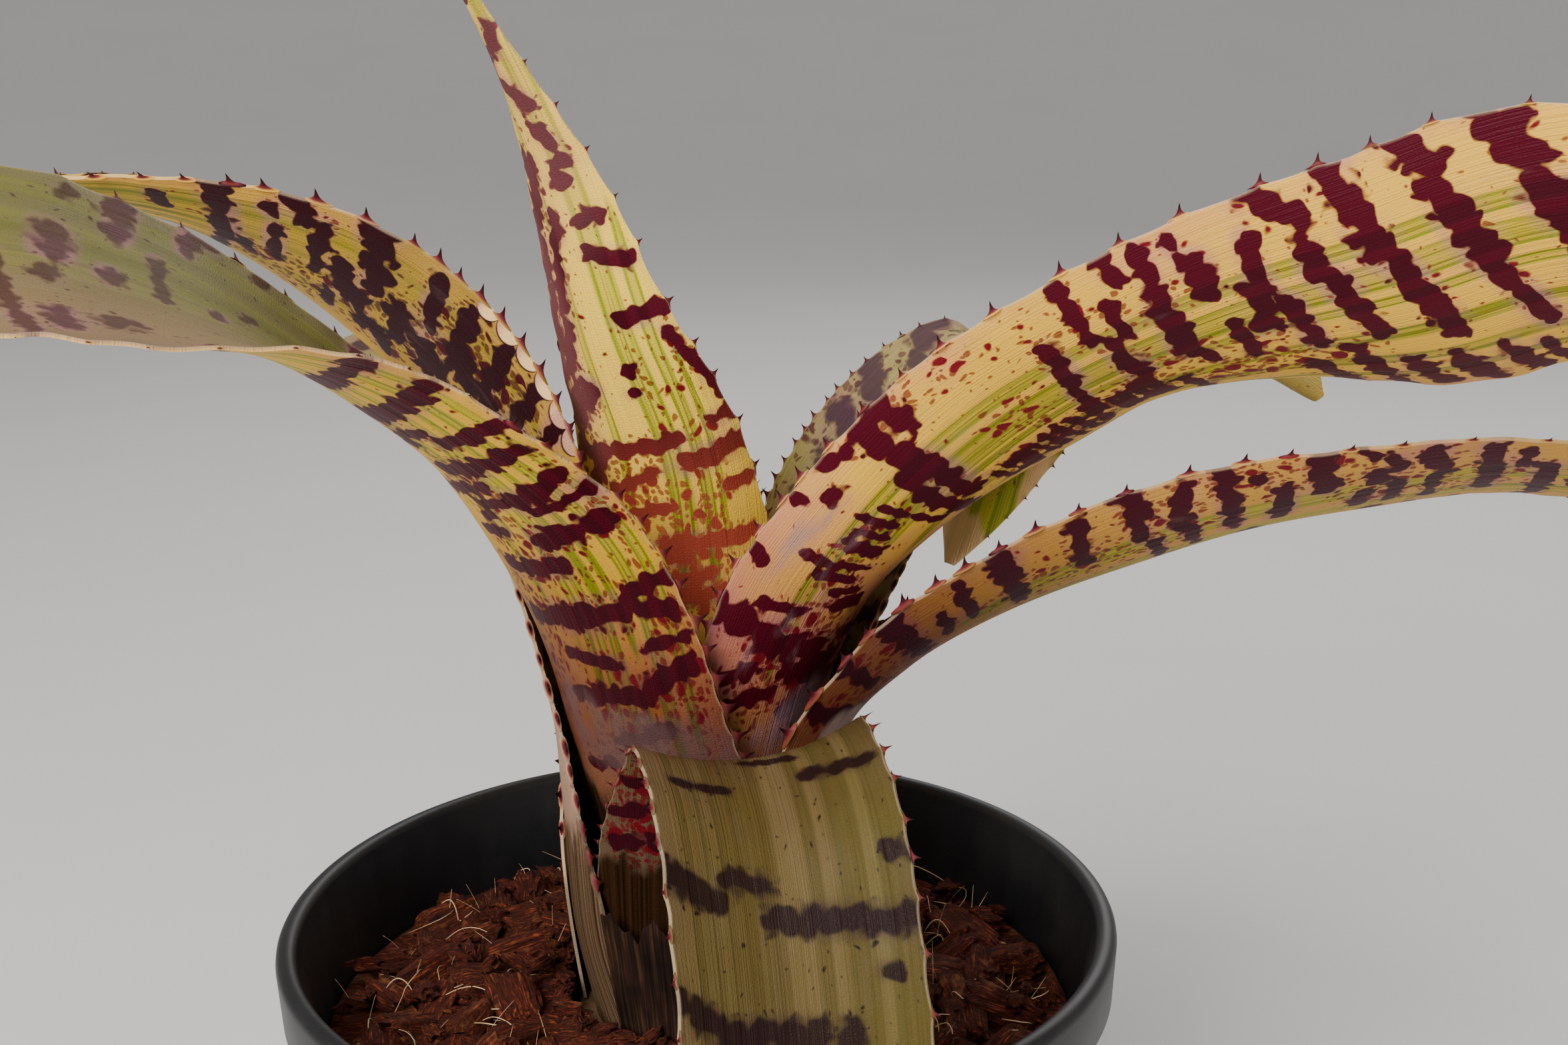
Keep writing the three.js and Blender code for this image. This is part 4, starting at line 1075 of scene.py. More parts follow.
def spine_master():
    """One spine, 1 unit long: a flat hook on a broad hollow-sided foot, along Y and leaning towards X."""
    deselect()
    bpy.ops.mesh.primitive_cone_add(vertices=10, radius1=1.0, radius2=0.0, depth=1.0,
                                    end_fill_type="NOTHING", location=(0, 0, 0.5))
    spine = bpy.context.active_object
    bpy.ops.object.mode_set(mode="EDIT")
    for height in (0.1, 0.22, 0.36, 0.55, 0.78):
        bpy.ops.mesh.select_all(action="SELECT")
        bpy.ops.mesh.bisect(plane_co=(0, 0, height), plane_no=(0, 0, 1))
    bpy.ops.object.mode_set(mode="OBJECT")
    at = np.array([spine.matrix_world @ v.co for v in spine.data.vertices])
    faces = [tuple(p.vertices) for p in spine.data.polygons]
    bpy.data.objects.remove(spine)
    height = np.clip(at[:, 2], 0, 1)
    # The cone's straight sides are drawn in to hollow ones, wider on the side of the leaf's foot.
    slim = np.interp(height, [0, 0.1, 0.22, 0.36, 0.55, 0.78, 1], [1, 0.6, 0.36, 0.22, 0.13, 0.07, 0.02])
    straight = np.maximum(1 - height, 1e-3)
    ahead = at[:, 0] / straight * slim
    ahead = np.where(ahead < 0, 1.15 * ahead, 0.7 * ahead)
    depth = at[:, 1] / straight * slim
    return np.stack([ahead + 0.3 * height**1.5, height, depth * 0.26], 1), faces, height


def joined_spines(leaf, number, length, margins, master):
    """The spines of both margins in one mesh: copies of the one hook, with their feet sunk in the leaf."""
    points, faces, height = master
    dice = np.random.default_rng(SPINE_SEED + number)
    spread = leaf.get("spine_size", 2.0)
    places, tops, sides, mms, halves, sets = [], [], [], [], [], []
    for side, spots in margins.items():
        for spot in spots:
            low = 1 - float(smoothstep(np.array(spot), 60, 120))
            tip = float(smoothstep(np.array(spot), length - 130, length))
            size = spread * (1 + 0.4 * low) * (1 - 0.5 * tip) * dice.uniform(0.85, 1.12)
            weak_side, weak_from, weak_share = leaf.get("weak_margin", (0, 0, 1))
            if side == weak_side and spot > weak_from:
                size *= weak_share
            here = np.array([float(side)]), np.array([spot / length])
            at, ahead, outward, up, half = leaf_frame(leaf, *here)
            hook = points * size
            hook[:, 1] -= SPINE_ROOT
            foot = len(places) * len(points)
            places.append(at + hook[:, :1] * ahead + hook[:, 1:2] * outward * side + hook[:, 2:] * up)
            tops.append(height)
            sides.append(np.full(len(points), side * half[0]))
            mms.append(np.full(len(points), spot))
            halves.append(np.full(len(points), half[0]))
            sets += [tuple(v + foot for v in (face if side > 0 else face[::-1])) for face in faces]
    mesh = bpy.data.meshes.new("spines")
    mesh.from_pydata((np.vstack(places) * MM).tolist(), [], sets)
    values = leaf_values(leaf, number, np.hstack(sides) * 0.97, np.hstack(mms), np.hstack(halves), length)
    values["rim"] = np.zeros(len(mesh.vertices))
    values["spine"] = np.hstack(tops)
    values["upper"] = np.zeros(len(mesh.vertices))
    for name, column in values.items():
        write_values(mesh, name, column)
    write_map(mesh, np.hstack(sides), np.hstack(mms))
    spines = bpy.data.objects.new("spines", mesh)
    bpy.context.collection.objects.link(spines)
    return spines


def thicken(blade, thickness):
    """Gives a leaf's surface its own thickness in millimetres at each point, half of it to either side."""
    thinner = blade.vertex_groups.new(name="body")
    for i, share in enumerate(thickness / BLADE_THICKNESS):
        thinner.add([i], float(share), "REPLACE")
    pick(blade)
    wall = blade.modifiers.new("wall", "SOLIDIFY")
    wall.thickness = BLADE_THICKNESS * MM
    wall.offset = 0
    wall.vertex_group = thinner.name
    wall.use_even_offset = False
    bpy.ops.object.modifier_apply(modifier=wall.name)
    blade.vertex_groups.clear()


def make_leaf(leaf, number, master):
    """A leaf as one piece: a fine grid laid on its surface, thickened, with its spines joined on."""
    steps, _ = midrib(leaf["path"])
    length = steps[-1]
    margins = spine_places(leaf, number, length)
    deselect()
    bpy.ops.mesh.primitive_grid_add(x_subdivisions=COLUMNS, y_subdivisions=int(length / ROW_SPACING),
                                    size=2, calc_uvs=False)
    blade = bpy.context.active_object
    blade.name = leaf["name"] + "_dressed"
    flat = np.array([v.co for v in blade.data.vertices])
    # Columns lie closer towards the margins, which are drawn in between the spines.
    across = np.sin(flat[:, 0] * math.pi / 2 * CROWDING) / math.sin(math.pi / 2 * CROWDING)
    along = np.clip((flat[:, 1] + 1) / 2, 0, 1)
    millimetres = along * length
    half = leaf_points(leaf, across, along)[1]
    left_dip = margin_dip(margins[-1], millimetres, length)
    right_dip = margin_dip(margins[1], millimetres, length)
    dip = np.where(across < 0, left_dip, right_dip)
    across = across * (1 - dip / half * smoothstep(np.abs(across), 0.7, 1.0))
    at, forward, sideways, above, half = leaf_frame(leaf, across, along)
    free = smoothstep(millimetres, leaf["throat"] + 10, leaf["throat"] + 60)
    ripple = wave_noise(np.stack([millimetres * 0.09, across * 1.1, 0 * across], 1), RIPPLE_SEED + number)
    uneven = wave_noise(millimetres[:, None] * np.array([[0.05, 0, 0]]), number)
    frill = np.sin(millimetres * 0.55 + 2 * uneven)
    at = at + above * (free * (RIPPLE * ripple + FRILL * frill * np.abs(across) ** 5))[:, None]
    blade.data.vertices.foreach_set("co", (at * MM).ravel())
    across_mm = across * half
    values = leaf_values(leaf, number, across_mm, millimetres, half, length)
    values["rim"] = smoothstep(np.abs(flat[:, 0]), 0.94, 1.0)
    values["spine"] = np.zeros(len(across))
    for name, column in values.items():
        write_values(blade.data, name, column)
    write_map(blade.data, across_mm, millimetres)
    body = SHEATH_THICKNESS + (BLADE_THICKNESS - SHEATH_THICKNESS) * np.minimum(1, along * 3)
    thicken(blade, body + (EDGE_THICKNESS - body) * np.abs(across) ** 3)
    solid = np.array([v.co for v in blade.data.vertices]) / MM
    off = solid - np.vstack([at, at])[: len(solid)]
    write_values(blade.data, "upper", (off * np.vstack([above, above])).sum(1) > 0)
    deselect()
    joined_spines(leaf, number, length, margins, master).select_set(True)
    blade.select_set(True)
    bpy.context.view_layer.objects.active = blade
    bpy.ops.object.join()
    smooth(blade, 50)
    return blade


def striped(tree, where, stripes):
    """Lengthwise bands, each given by its place across in millimetres and its colour."""
    first, last = stripes[0][0], stripes[-1][0]
    place = put(tree, "SeparateXYZ", None, {0: where})
    share = put(tree, "MapRange", None, {"Value": place.outputs[0], 1: first, 2: last})
    bands = put(tree, "ValToRGB", None, {"Fac": share})
    stops = bands.color_ramp.elements
    stops[0].color = hex_colour(stripes[0][1])
    stops[1].color = hex_colour(stripes[-1][1])
    for across, code in stripes[1:-1]:
        stops.new((across - first) / (last - first)).color = hex_colour(code)
    return bands.outputs[0]


# Settings that many nodes of the skin share.
TIMES = {"operation": "MULTIPLY"}
PLUS = {"operation": "ADD"}
MINUS = {"operation": "SUBTRACT"}
LARGER = {"operation": "MAXIMUM"}
SMALLER = {"operation": "MINIMUM"}
SCALED = {"operation": "MULTIPLY_ADD"}
SMOOTH = {"interpolation_type": "SMOOTHSTEP"}
COLOUR = {"data_type": "RGBA"}
SHADED = {"data_type": "RGBA", "blend_type": "MULTIPLY"}
CELLS = {"voronoi_dimensions": "2D"}

# The skin's colours where a leaf's row names none of its own.
SKIN_TONES = {
    "cream": "#e8bc44", "pink": "#d69668", "upper_tone": "#a8a468", "dusk_ground": "#8f8258",
    "line_edge": "#b6ae1c", "leaf_green": "#788a0a", "deep_green": "#4c6208", "halo": "#9c5c74",
    "wine": "#480516", "dusk_wine": "#4a2a34", "scurf_and_lit_tone": "#a3958d",
}
DARK_WINE = "#28050e"
SPECKLE_WINE = "#6c101a"
RUST_WINE = "#a44632"
# The colour of the painted shade low in the tank.
TANK_SHADE = "#866860"
SCALE_GREY = "#a3958d"
MARGIN_PALE = "#d2b795"
LOBE_DEPTH = 2.6


def painted_lit_lobes(tree, where, read, drift, leaf, base):
    """Painted light: bright rounded lobes along the margin, from each spine to the next, that stand for the
    lit leaf behind seen through the notches, with lilac that is partly painted shade to one side of each lobe
    and partly random clouds, and each with a thin dark outline.
    """
    start, end = leaf["lobes"]
    step = leaf["notches"][2]
    along = put(tree, "SeparateXYZ", None, {0: where}).outputs[1]
    turn = put(tree, "Math", SCALED, {0: along, 1: 1 / step, 2: -start / step})
    share = put(tree, "Math", {"operation": "FRACT"}, {0: turn})
    offset = put(tree, "Math", SCALED, {0: share, 1: 2.0, 2: -1.0})
    square = put(tree, "Math", TIMES, {0: offset, 1: offset})
    rest = put(tree, "Math", {"operation": "SUBTRACT", "use_clamp": True}, {0: 1.0, 1: square})
    arc = put(tree, "Math", {"operation": "SQRT"}, {0: rest})
    depth = put(tree, "Math", TIMES, {0: arc, 1: LOBE_DEPTH})
    within = put(tree, "Math", MINUS, {0: depth, 1: read["inset"]})
    shown = put(tree, "MapRange", SMOOTH, {"Value": along, 1: end - 1, 2: end, 3: 1.0, 4: 0.0})
    after = put(tree, "Math", {"operation": "GREATER_THAN"}, {0: along, 1: float(start)})
    span = put(tree, "Math", TIMES, {0: shown, 1: after})
    line = put(tree, "MapRange", SMOOTH, {"Value": within, 1: -0.45, 2: -0.1, 3: 0.0, 4: 0.95})
    lobe_painted_light = put(tree, "MapRange", SMOOTH, {"Value": within, 1: 0.0, 2: 0.25, 3: 0.0, 4: 1.0})
    lobe_painted_shade = put(tree, "MapRange", SMOOTH, {"Value": share, 1: 0.45, 2: 1.0, 3: 0.0, 4: 0.7})
    clouded = put(tree, "MapRange", SMOOTH, {"Value": drift, 1: 0.5, 2: 0.62, 3: 0.0, 4: 0.6})
    lilac = put(tree, "Math", LARGER, {0: lobe_painted_shade, 1: clouded})
    tone = put(tree, "Mix", COLOUR, {0: lilac, 6: hex_colour("#f2c488"), 7: hex_colour("#a8606e")})
    line_shown = put(tree, "Math", TIMES, {0: line, 1: span})
    lobe_shown = put(tree, "Math", TIMES, {0: lobe_painted_light, 1: span})
    outlined = put(tree, "Mix", COLOUR, {0: line_shown, 6: base, 7: hex_colour("#2c1018")})
    return put(tree, "Mix", COLOUR, {0: lobe_shown, 6: outlined, 7: tone})


def drawn_out_noise(tree, where, scale, stretch, detail):
    """A noise on the leaf's map, with its own stretch across and along the leaf."""
    laid = put(tree, "Mapping", None, {"Vector": where, "Scale": (*stretch, 1.0)})
    return put(tree, "TexNoise", {"noise_dimensions": "2D"},
               {"Vector": laid, "Scale": scale, "Detail": detail})


def pigment_shares(tree, where, read):
    """How much of the bars' pigment lies at a place, and how much of any, speckles included."""
    # Places pushed about a little, so that no lobe is a true circle.
    sway = drawn_out_noise(tree, where, 0.35, (1.0, 1.0), 0.0)
    pull = put(tree, "VectorMath", MINUS, {0: sway.outputs["Color"], 1: (0.5, 0.5, 0.5)})
    push = put(tree, "VectorMath", {"operation": "SCALE"}, {0: pull, "Scale": 1.7})
    bent = put(tree, "VectorMath", PLUS, {0: where, 1: push})
    lobes = put(tree, "TexVoronoi", {"voronoi_dimensions": "2D", "feature": "SMOOTH_F1"},
                {"Vector": bent, "Scale": 0.37, "Smoothness": 0.45})
    lobe = put(tree, "Math", SCALED, {0: lobes, 1: -0.65, 2: 0.25})
    frayed = drawn_out_noise(tree, where, 0.7, (1.0, 0.8), 1.0)
    nibbled = put(tree, "Math", SCALED, {0: frayed, 1: 0.08, 2: -0.04})
    rounded = put(tree, "Math", PLUS, {0: read["marks"], 1: lobe})
    depth = put(tree, "Math", PLUS, {0: rounded, 1: nibbled})
    # A bar's edge is softer on the upper face.
    soft_from = put(tree, "Math", SCALED, {0: read["upper"], 1: -0.14, 2: 0.42})
    soft_to = put(tree, "Math", SCALED, {0: read["upper"], 1: 0.1, 2: 0.56})
    bar = put(tree, "MapRange", SMOOTH, {"Value": depth, 1: soft_from, 2: soft_to})
    # Speckles: small spots, a little longer than wide, as many as the patch asks for, more beside a bar.
    spaced = put(tree, "Mapping", None, {"Vector": bent, "Scale": (1.0, 0.75, 1.0)})
    asked = put(tree, "Math", SCALED, {0: read["marks"], 1: 0.45, 2: read["speckle"]})
    spots = []
    for scale, share, largest in ((0.8, 0.85, 0.42), (0.4, 0.6, 0.55)):
        cells = put(tree, "TexVoronoi", CELLS, {"Vector": spaced, "Scale": scale})
        chance = put(tree, "SeparateColor", None, {"Color": cells.outputs["Color"]})
        weighed = put(tree, "Math", TIMES, {0: asked, 1: share})
        wanted = put(tree, "Math", MINUS, {0: weighed, 1: chance})
        grown = put(tree, "Math", SCALED, {0: wanted, 1: 0.6, 2: 0.12})
        size = put(tree, "Math", SMALLER, {0: grown, 1: largest})
        inside = put(tree, "Math", MINUS, {0: size, 1: cells})
        drawn_spot = put(tree, "MapRange", SMOOTH, {"Value": inside, 1: -0.04, 2: 0.12})
        present = put(tree, "MapRange", SMOOTH, {"Value": wanted, 1: 0.0, 2: 0.03})
        spots.append(put(tree, "Math", TIMES, {0: drawn_spot, 1: present}))
    paler = put(tree, "Math", TIMES, {0: spots[0], 1: 0.8})
    spot = put(tree, "Math", LARGER, {0: paler, 1: spots[1]})
    return bar, put(tree, "Math", LARGER, {0: bar, 1: spot})


def ground_colour(tree, where, leaf, tones, read, drift):
    """The ground between the marks: cream flushed with pink, any stripes, and the upper face's tone."""
    uneven = put(tree, "Math", SCALED, {0: drift, 1: 1.2, 2: -0.65})
    flush = put(tree, "Math", {"operation": "ADD", "use_clamp": True}, {0: uneven, 1: read["blush"]})
    ground = put(tree, "Mix", COLOUR, {0: flush, 6: tones["cream"], 7: tones["pink"]})
    if "stripes" in leaf:
        ground = put(tree, "Mix", COLOUR, {0: 0.9, 6: ground, 7: striped(tree, where, leaf["stripes"])})
    upper_share = put(tree, "Math", TIMES, {0: read["upper"], 1: leaf.get("upper_share", 0.35)})
    upper_ground = tones["upper_tone"]
    if "upper_stripes" in leaf:
        upper_ground = striped(tree, where, leaf["upper_stripes"])
    ground = put(tree, "Mix", COLOUR, {0: upper_share, 6: ground, 7: upper_ground})
    # Dusk: the ground darkened in soft patches, partly a duskier tone of the skin and partly painted shade.
    dusky = put(tree, "Math", TIMES, {0: read["dusk"], 1: 0.5})
    return put(tree, "Mix", COLOUR, {0: dusky, 6: ground, 7: tones["dusk_ground"]})


def with_green_lines(tree, leaf, tones, read, band, streaks, ground):
    """The ground with its lines: soft bands of yellow green, each with a few fine deeper green lines."""
    from_edge = put(tree, "MapRange", SMOOTH, {"Value": read["green"], 1: 0.12, 2: 0.34})
    to_middle = put(tree, "MapRange", SMOOTH, {"Value": read["green"], 1: 0.45, 2: 0.8, 3: 1.0, 4: 0.15})
    sides = put(tree, "Math", TIMES, {0: from_edge, 1: to_middle})
    streaked = put(tree, "MapRange", SMOOTH, {"Value": streaks, 1: 0.25, 2: 0.55, 3: 0.35, 4: 1.0})
    drawn = put(tree, "Math", TIMES, {0: streaked, 1: sides})
    darkest = put(tree, "MapRange", SMOOTH, {"Value": streaks, 1: 0.55, 2: 0.66})
    middle = put(tree, "MapRange", SMOOTH, {"Value": read["green"], 1: 0.3, 2: 0.7})
    deep = put(tree, "Math", TIMES, {0: darkest, 1: middle})
    # The lines are fainter on the upper face and under the dusk.
    fainter = put(tree, "MapRange", None,
                  {"Value": read["upper"], 3: 1.0, 4: leaf.get("upper_lines", 0.35)})
    clear = put(tree, "Math", SCALED, {0: read["dusk"], 1: -0.6, 2: 1.0})
    under = put(tree, "Math", TIMES, {0: fainter, 1: clear})
    layers = ((band, 0.5, "line_edge"), (drawn, 0.85, "leaf_green"), (deep, 0.6, "deep_green"))
    for share, strength, tone in layers:
        weighed = put(tree, "Math", TIMES, {0: share, 1: strength})
        laid = put(tree, "Math", TIMES, {0: weighed, 1: under})
        ground = put(tree, "Mix", COLOUR, {0: laid, 6: ground, 7: tones[tone]})
    return ground


def wine_colour(tree, where, leaf, tones, read, band, bar):
    """The pigment's colour: wine red, darker over a green line, redder in the speckles, rusty low down, and
    darkened by painted shade low in the tank.
    """
    over_line = put(tree, "Math", TIMES, {0: band, 1: 0.45})
    wine = put(tree, "Mix", COLOUR, {0: over_line, 6: tones["wine"], 7: hex_colour(DARK_WINE)})
    beside = put(tree, "Math", MINUS, {0: 1.0, 1: bar})
    wine = put(tree, "Mix", COLOUR, {0: beside, 6: wine, 7: hex_colour(SPECKLE_WINE)})
    if "rust" in leaf:
        rust_from, rust_to = leaf["rust"]
        along = put(tree, "SeparateXYZ", None, {0: where}).outputs[1]
        low = put(tree, "MapRange", SMOOTH, {"Value": along, 1: rust_from, 2: rust_to, 3: 1.0, 4: 0.0})
        wine = put(tree, "Mix", COLOUR, {0: low, 6: wine, 7: hex_colour(RUST_WINE)})
    # Dusk: the wine darkened in the same patches, partly its own tone and partly painted shade.
    dusky = put(tree, "Math", TIMES, {0: read["dusk"], 1: 0.75})
    wine = put(tree, "Mix", COLOUR, {0: dusky, 6: wine, 7: tones["dusk_wine"]})
    if "upper_wine" in leaf:
        wine = put(tree, "Mix", COLOUR, {0: read["upper"], 6: wine, 7: hex_colour(leaf["upper_wine"])})
    # Painted shade low in the tank, weaker on the wine than on the ground.
    dim = put(tree, "Math", TIMES, {0: read["dim"], 1: 0.6})
    return put(tree, "Mix", SHADED, {0: dim, 6: wine, 7: hex_colour(TANK_SHADE)})


def scale_bloom(tree, where, leaf, read, film, pigment):
    """Scales: rows of pale dots, half a millimetre apart, thick low in the tank. The dots and the bloom."""
    rows = put(tree, "TexVoronoi", CELLS, {"Vector": where, "Scale": 2.1, "Randomness": 0.7})
    dot = put(tree, "MapRange", None, {"Value": rows, 1: 0.18, 2: 0.42, 3: 1.0, 4: 0.0})
    uneven = put(tree, "Math", SCALED, {0: film, 1: 1.5, 2: -0.75})
    thick = put(tree, "Math", PLUS, {0: uneven, 1: read["scurf"]})
    thick = put(tree, "Math", {"operation": "MULTIPLY_ADD", "use_clamp": True},
                {0: read["upper"], 1: 0.04, 2: thick})
    dotted = put(tree, "MapRange", None, {"Value": dot, 3: 0.45, 4: 1.0})
    bloom = put(tree, "Math", TIMES, {0: thick, 1: dotted})
    bloom = put(tree, "Math", TIMES, {0: bloom, 1: leaf["grey"]})
    bare = put(tree, "Math", SCALED, {0: pigment, 1: -0.92, 2: 1.0})
    return dot, put(tree, "Math", TIMES, {0: bloom, 1: bare})


def with_old_foot(tree, leaf, tones, read, film, streaks, base):
    """Clouds of scurf over the skin, partly painted light where they brighten a tip in shade, and the old
    foot of the sheath, brown and papery.
    """
    # Soft clouds of the scurf tone: real scurf, and on one leaf's tip painted light.
    lowered = put(tree, "Math", MINUS, {0: read["scurf_patches_and_painted_light"], 1: 0.7})
    clouded = put(tree, "Math", SCALED, {0: film, 1: 1.4, 2: lowered})
    scurf_and_light_cover = put(tree, "MapRange", SMOOTH, {"Value": clouded, 1: 0.3, 2: 0.9, 3: 0.0, 4: 0.7})
    base = put(tree, "Mix", COLOUR, {0: scurf_and_light_cover, 6: base, 7: tones["scurf_and_lit_tone"]})
    # The papery foot's near-black browns are partly the dead sheath's own colour and partly painted shade at
    # the foot of the plant.
    paper_dark, paper_light = leaf.get("paper", ("#150b07", "#35200f"))
    veined = put(tree, "MapRange", SMOOTH, {"Value": streaks, 1: 0.2, 2: 0.8})
    papery = put(tree, "Mix", COLOUR, {0: veined, 6: hex_colour(paper_dark), 7: hex_colour(paper_light)})
    worn = put(tree, "Math", SCALED, {0: film, 1: 0.9, 2: -0.45})
    ragged = put(tree, "Math", PLUS, {0: read["old"], 1: worn})
    aged = put(tree, "MapRange", SMOOTH, {"Value": ragged, 1: 0.3, 2: 0.7})
    return put(tree, "Mix", COLOUR, {0: aged, 6: base, 7: papery})


def with_hooks(tree, read, base):
    """The spines' colour, from reddish brown at the foot to nearly black at the point."""
    hook = put(tree, "ValToRGB", None, {"Fac": read["spine"]})
    hook.color_ramp.elements[0].position = 0.05
    hook.color_ramp.elements[0].color = hex_colour("#7a3434")
    hook.color_ramp.elements[1].position = 0.75
    hook.color_ramp.elements[1].color = hex_colour("#1d0b0c")
    middle = hook.color_ramp.elements.new(0.35)
    middle.color = hex_colour("#46161a")
    on_spine = put(tree, "MapRange", SMOOTH, {"Value": read["spine"], 1: 0.01, 2: 0.16})
    return put(tree, "Mix", COLOUR, {0: on_spine, 6: base, 7: hook})


# Bromeliad leaf: a leathery satin skin, fine lines and rows of tiny pale scales along it, and blotches of
# wine-red pigment whose round lobes are about 2.5 mm across, lying in the skin under a light bloom.
def leaf_skin(leaf):
    made, tree = new_material("leathery leaf skin, " + leaf["name"].replace("_", " "))
    where = put(tree, "UVMap", {"uv_map": "leaf map"})
    read = {}
    for name in ("marks", "speckle", "green", "scurf", "scurf_patches_and_painted_light", "dim", "blush", "old", "dusk", "inset",
                 "rim", "spine", "upper"):
        read[name] = put(tree, "Attribute", {"attribute_name": name}).outputs["Fac"]
    tones = {name: hex_colour(leaf.get(name, code)) for name, code in SKIN_TONES.items()}
    streaks = drawn_out_noise(tree, where, 1.0, (1.7, 0.008), 1.5)
    hairs = drawn_out_noise(tree, where, 1.0, (4.0, 0.02), 1.0)
    drift = drawn_out_noise(tree, where, 0.07, (1.0, 1.0), 2.0)
    film = drawn_out_noise(tree, where, 0.22, (1.0, 0.35), 4.0)
    band = put(tree, "MapRange", SMOOTH, {"Value": read["green"], 1: 0.06, 2: 0.5})
    bar, pigment = pigment_shares(tree, where, read)

    ground = ground_colour(tree, where, leaf, tones, read, drift)
    lined = with_green_lines(tree, leaf, tones, read, band, streaks, ground)
    hairy = put(tree, "MapRange", None, {"Value": hairs, 1: 0.3, 2: 0.7, 3: 0.93, 4: 1.04})
    grained = put(tree, "Mix", SHADED, {0: 1.0, 6: lined, 7: hairy})
    # Around each blotch the pigment fades out as a faint flush.
    beside = put(tree, "MapRange", SMOOTH, {"Value": read["marks"], 1: 0.0, 2: 0.6})
    fitful = put(tree, "MapRange", SMOOTH, {"Value": drift, 1: 0.4, 2: 0.65, 3: 0.08, 4: 0.5})
    halo = put(tree, "Math", TIMES, {0: beside, 1: fitful})
    haloed = put(tree, "Mix", COLOUR, {0: halo, 6: grained, 7: tones["halo"]})
    # Painted shade low in the tank: the ground is darkened towards TANK_SHADE.
    haloed = put(tree, "Mix", SHADED, {0: read["dim"], 6: haloed, 7: hex_colour(TANK_SHADE)})
    fade = put(tree, "MapRange", None, {"Value": read["upper"], 3: 1.0, 4: leaf.get("upper_marks", 0.85)})
    strength = put(tree, "Math", TIMES, {0: pigment, 1: fade})
    wine = wine_colour(tree, where, leaf, tones, read, band, bar)
    marked = put(tree, "Mix", COLOUR, {0: strength, 6: haloed, 7: wine})

    dot, bloom = scale_bloom(tree, where, leaf, read, film, pigment)
    bloomed = put(tree, "Mix", COLOUR, {0: bloom, 6: marked, 7: hex_colour(SCALE_GREY)})
    aged = with_old_foot(tree, leaf, tones, read, film, streaks, bloomed)
    rim = put(tree, "Math", TIMES, {0: read["rim"], 1: leaf.get("rim", 0.3)})
    rimmed = put(tree, "Mix", COLOUR, {0: rim, 6: aged, 7: hex_colour(MARGIN_PALE)})
    # Painted light on the notched margin: bright lobes for the lit leaf behind, with painted shade.
    if "lobes" in leaf:
        rimmed = painted_lit_lobes(tree, where, read, drift, leaf, rimmed)
    colour = with_hooks(tree, read, rimmed)

    gloss = put(tree, "MapRange", None, {"Value": bloom, 3: 0.45, 4: 0.75})
    raised = put(tree, "Math", SCALED, {0: dot, 1: 0.2, 2: hairs})
    raised = put(tree, "Math", SCALED, {0: band, 1: -0.7, 2: raised})
    relief = put(tree, "Bump", None, {"Strength": 0.5, "Distance": 0.00035, "Height": raised})
    surface = put(tree, "BsdfPrincipled", None, {
        "Base Color": colour, "Roughness": gloss, "IOR": 1.42, "Specular IOR Level": 0.1, "Normal": relief,
        "Subsurface Weight": 0.1, "Subsurface Radius": (1.0, 0.5, 0.2), "Subsurface Scale": 0.0015})
    finish_material(tree, surface)
    return made


master = spine_master()
for number, leaf in enumerate(LEAVES):
    piece = make_leaf(leaf, number, master)
    piece.data.materials.clear()
    piece.data.materials.append(leaf_skin(leaf))
    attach(piece, "root")
    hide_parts(leaf["name"])

# Dry sheath
# What is left of an old leaf that has died back: a dark brown papery strip round the foot of the rosette,
# ribbed along its veins, wrinkled, and torn off in a ragged line at its top.
DRY_FROM = -132
DRY_TO = -25
DRY_TOP = 136
DRY_FOOT_RADIUS = 23.4
DRY_FLARE = 5
DRY_THICKNESS = 0.8
DRY_STEPS = 14
DRY_PAPER = 0.45
DRY_COLUMNS = 196
DRY_ROWS = 48
DRY_GIRTH = 60

deselect()
bpy.ops.mesh.primitive_grid_add(x_subdivisions=DRY_COLUMNS, y_subdivisions=DRY_ROWS, size=2, calc_uvs=False)
dry_sheath = bpy.context.active_object
dry_sheath.name = "dry_sheath_papery"
flat = np.array([v.co for v in dry_sheath.data.vertices])
round_share = (flat[:, 0] + 1) / 2
up_share = (flat[:, 1] + 1) / 2
# The solid's torn edge, with small tears in it.
notch = np.arange(DRY_STEPS + 1)
notch_top = DRY_TOP - 7 * np.abs(np.sin(notch * 1.9)) - 3 * np.cos(notch * 3.1)
torn = np.interp(round_share * DRY_STEPS, notch, notch_top)
torn -= 1.4 * np.abs(wave_noise(np.stack([round_share * 90, 0 * torn, 0 * torn], 1), 71))
height = FOOT + 0.4 + (torn - FOOT - 0.4) * up_share
uneven = wave_noise(np.stack([round_share * 6, height * 0.05, 0 * height], 1), 72)
vein = np.sin(round_share * 150 + 2.5 * uneven)
wrinkle = wave_noise(np.stack([round_share * 14, height * 0.3, 0 * height], 1), 73)
radius = DRY_FOOT_RADIUS + DRY_FLARE * (height - FOOT) / (DRY_TOP - FOOT)
radius += DRY_THICKNESS / 2 + 0.1 * vein + 0.16 * wrinkle
around = np.radians(DRY_FROM + (DRY_TO - DRY_FROM) * round_share)
at = np.stack([AXIS.x + radius * np.cos(around), AXIS.y + radius * np.sin(around), height], 1)
dry_sheath.data.vertices.foreach_set("co", (at * MM).ravel())
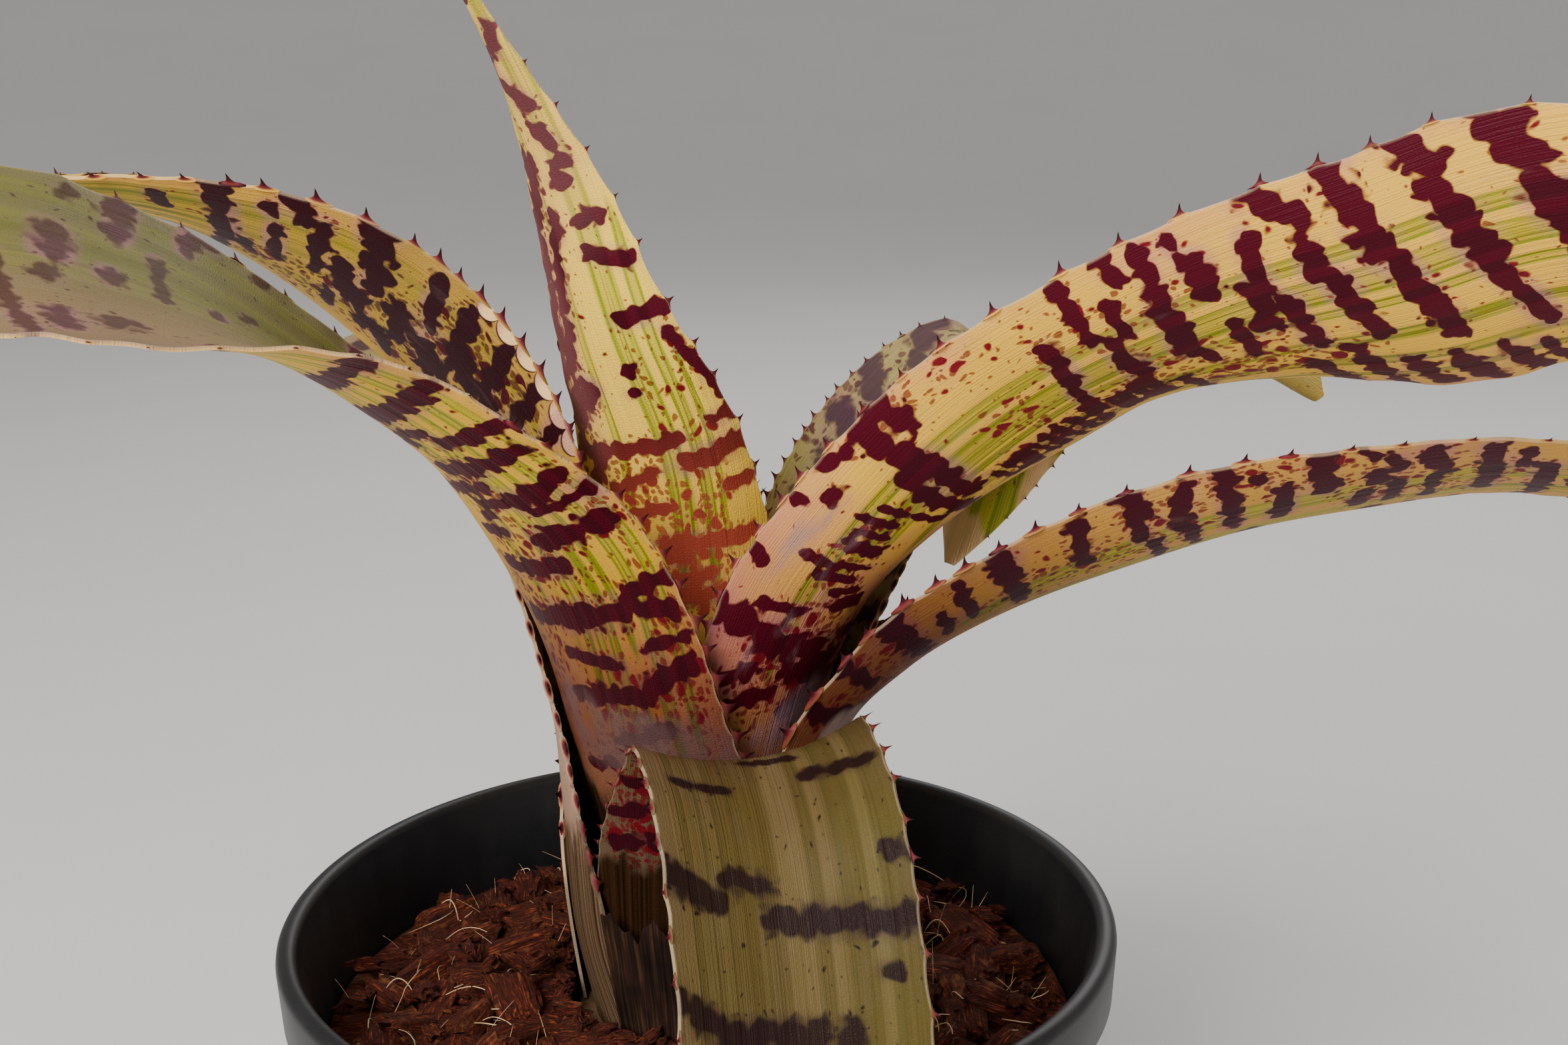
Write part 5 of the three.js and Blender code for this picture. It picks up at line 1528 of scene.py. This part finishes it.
write_map(dry_sheath.data, round_share * DRY_GIRTH, height)
pick(dry_sheath)
wall = dry_sheath.modifiers.new("wall", "SOLIDIFY")
wall.thickness = DRY_PAPER * MM
wall.offset = 0
bpy.ops.object.modifier_apply(modifier=wall.name)
bpy.ops.object.mode_set(mode="EDIT")
bpy.ops.mesh.select_all(action="SELECT")
bpy.ops.mesh.normals_make_consistent(inside=False)
bpy.ops.object.mode_set(mode="OBJECT")
smooth(dry_sheath, 60)

# Dead leaf sheath: brown paper, nearly black, darker and paler in soft random blots, with straw-coloured
# veins along it; its near-black is partly its own dead brown and partly painted shade at the foot of the
# plant.
papery, tree = new_material("dead leaf sheath, papery")
where = put(tree, "UVMap", {"uv_map": "leaf map"})
laid = put(tree, "Mapping", None, {"Vector": where, "Scale": (1.8, 0.06, 1.0)})
veins = put(tree, "TexNoise", {"noise_dimensions": "2D"}, {"Vector": laid, "Scale": 1.0, "Detail": 5.0})
blots = put(tree, "TexNoise", {"noise_dimensions": "2D"}, {"Vector": where, "Scale": 0.12, "Detail": 4.0})
# Near-black browns: partly the dead sheath's own colour and partly painted shade at the foot of the plant.
tone = put(tree, "ValToRGB", None, {"Fac": veins})
tone.color_ramp.elements[0].position = 0.35
tone.color_ramp.elements[0].color = hex_colour("#150a06")
tone.color_ramp.elements[1].position = 0.78
tone.color_ramp.elements[1].color = hex_colour("#4a3320")
middle = tone.color_ramp.elements.new(0.55)
middle.color = hex_colour("#2a170d")
soft_blots = put(tree, "MapRange", None, {"Value": blots, 1: 0.35, 2: 0.65, 3: 0.5, 4: 1.15})
shade = put(tree, "Mix", {"data_type": "RGBA", "blend_type": "MULTIPLY"}, {0: 1.0, 6: tone, 7: soft_blots})
relief = put(tree, "Bump", None, {"Strength": 0.7, "Distance": 0.0004, "Height": veins})
finish_material(tree, put(tree, "BsdfPrincipled", None, {
    "Base Color": shade, "Roughness": 0.68, "Specular IOR Level": 0.2, "Normal": relief}))
dry_sheath.data.materials.append(papery)
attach(dry_sheath, "root")
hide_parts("dry_sheath")
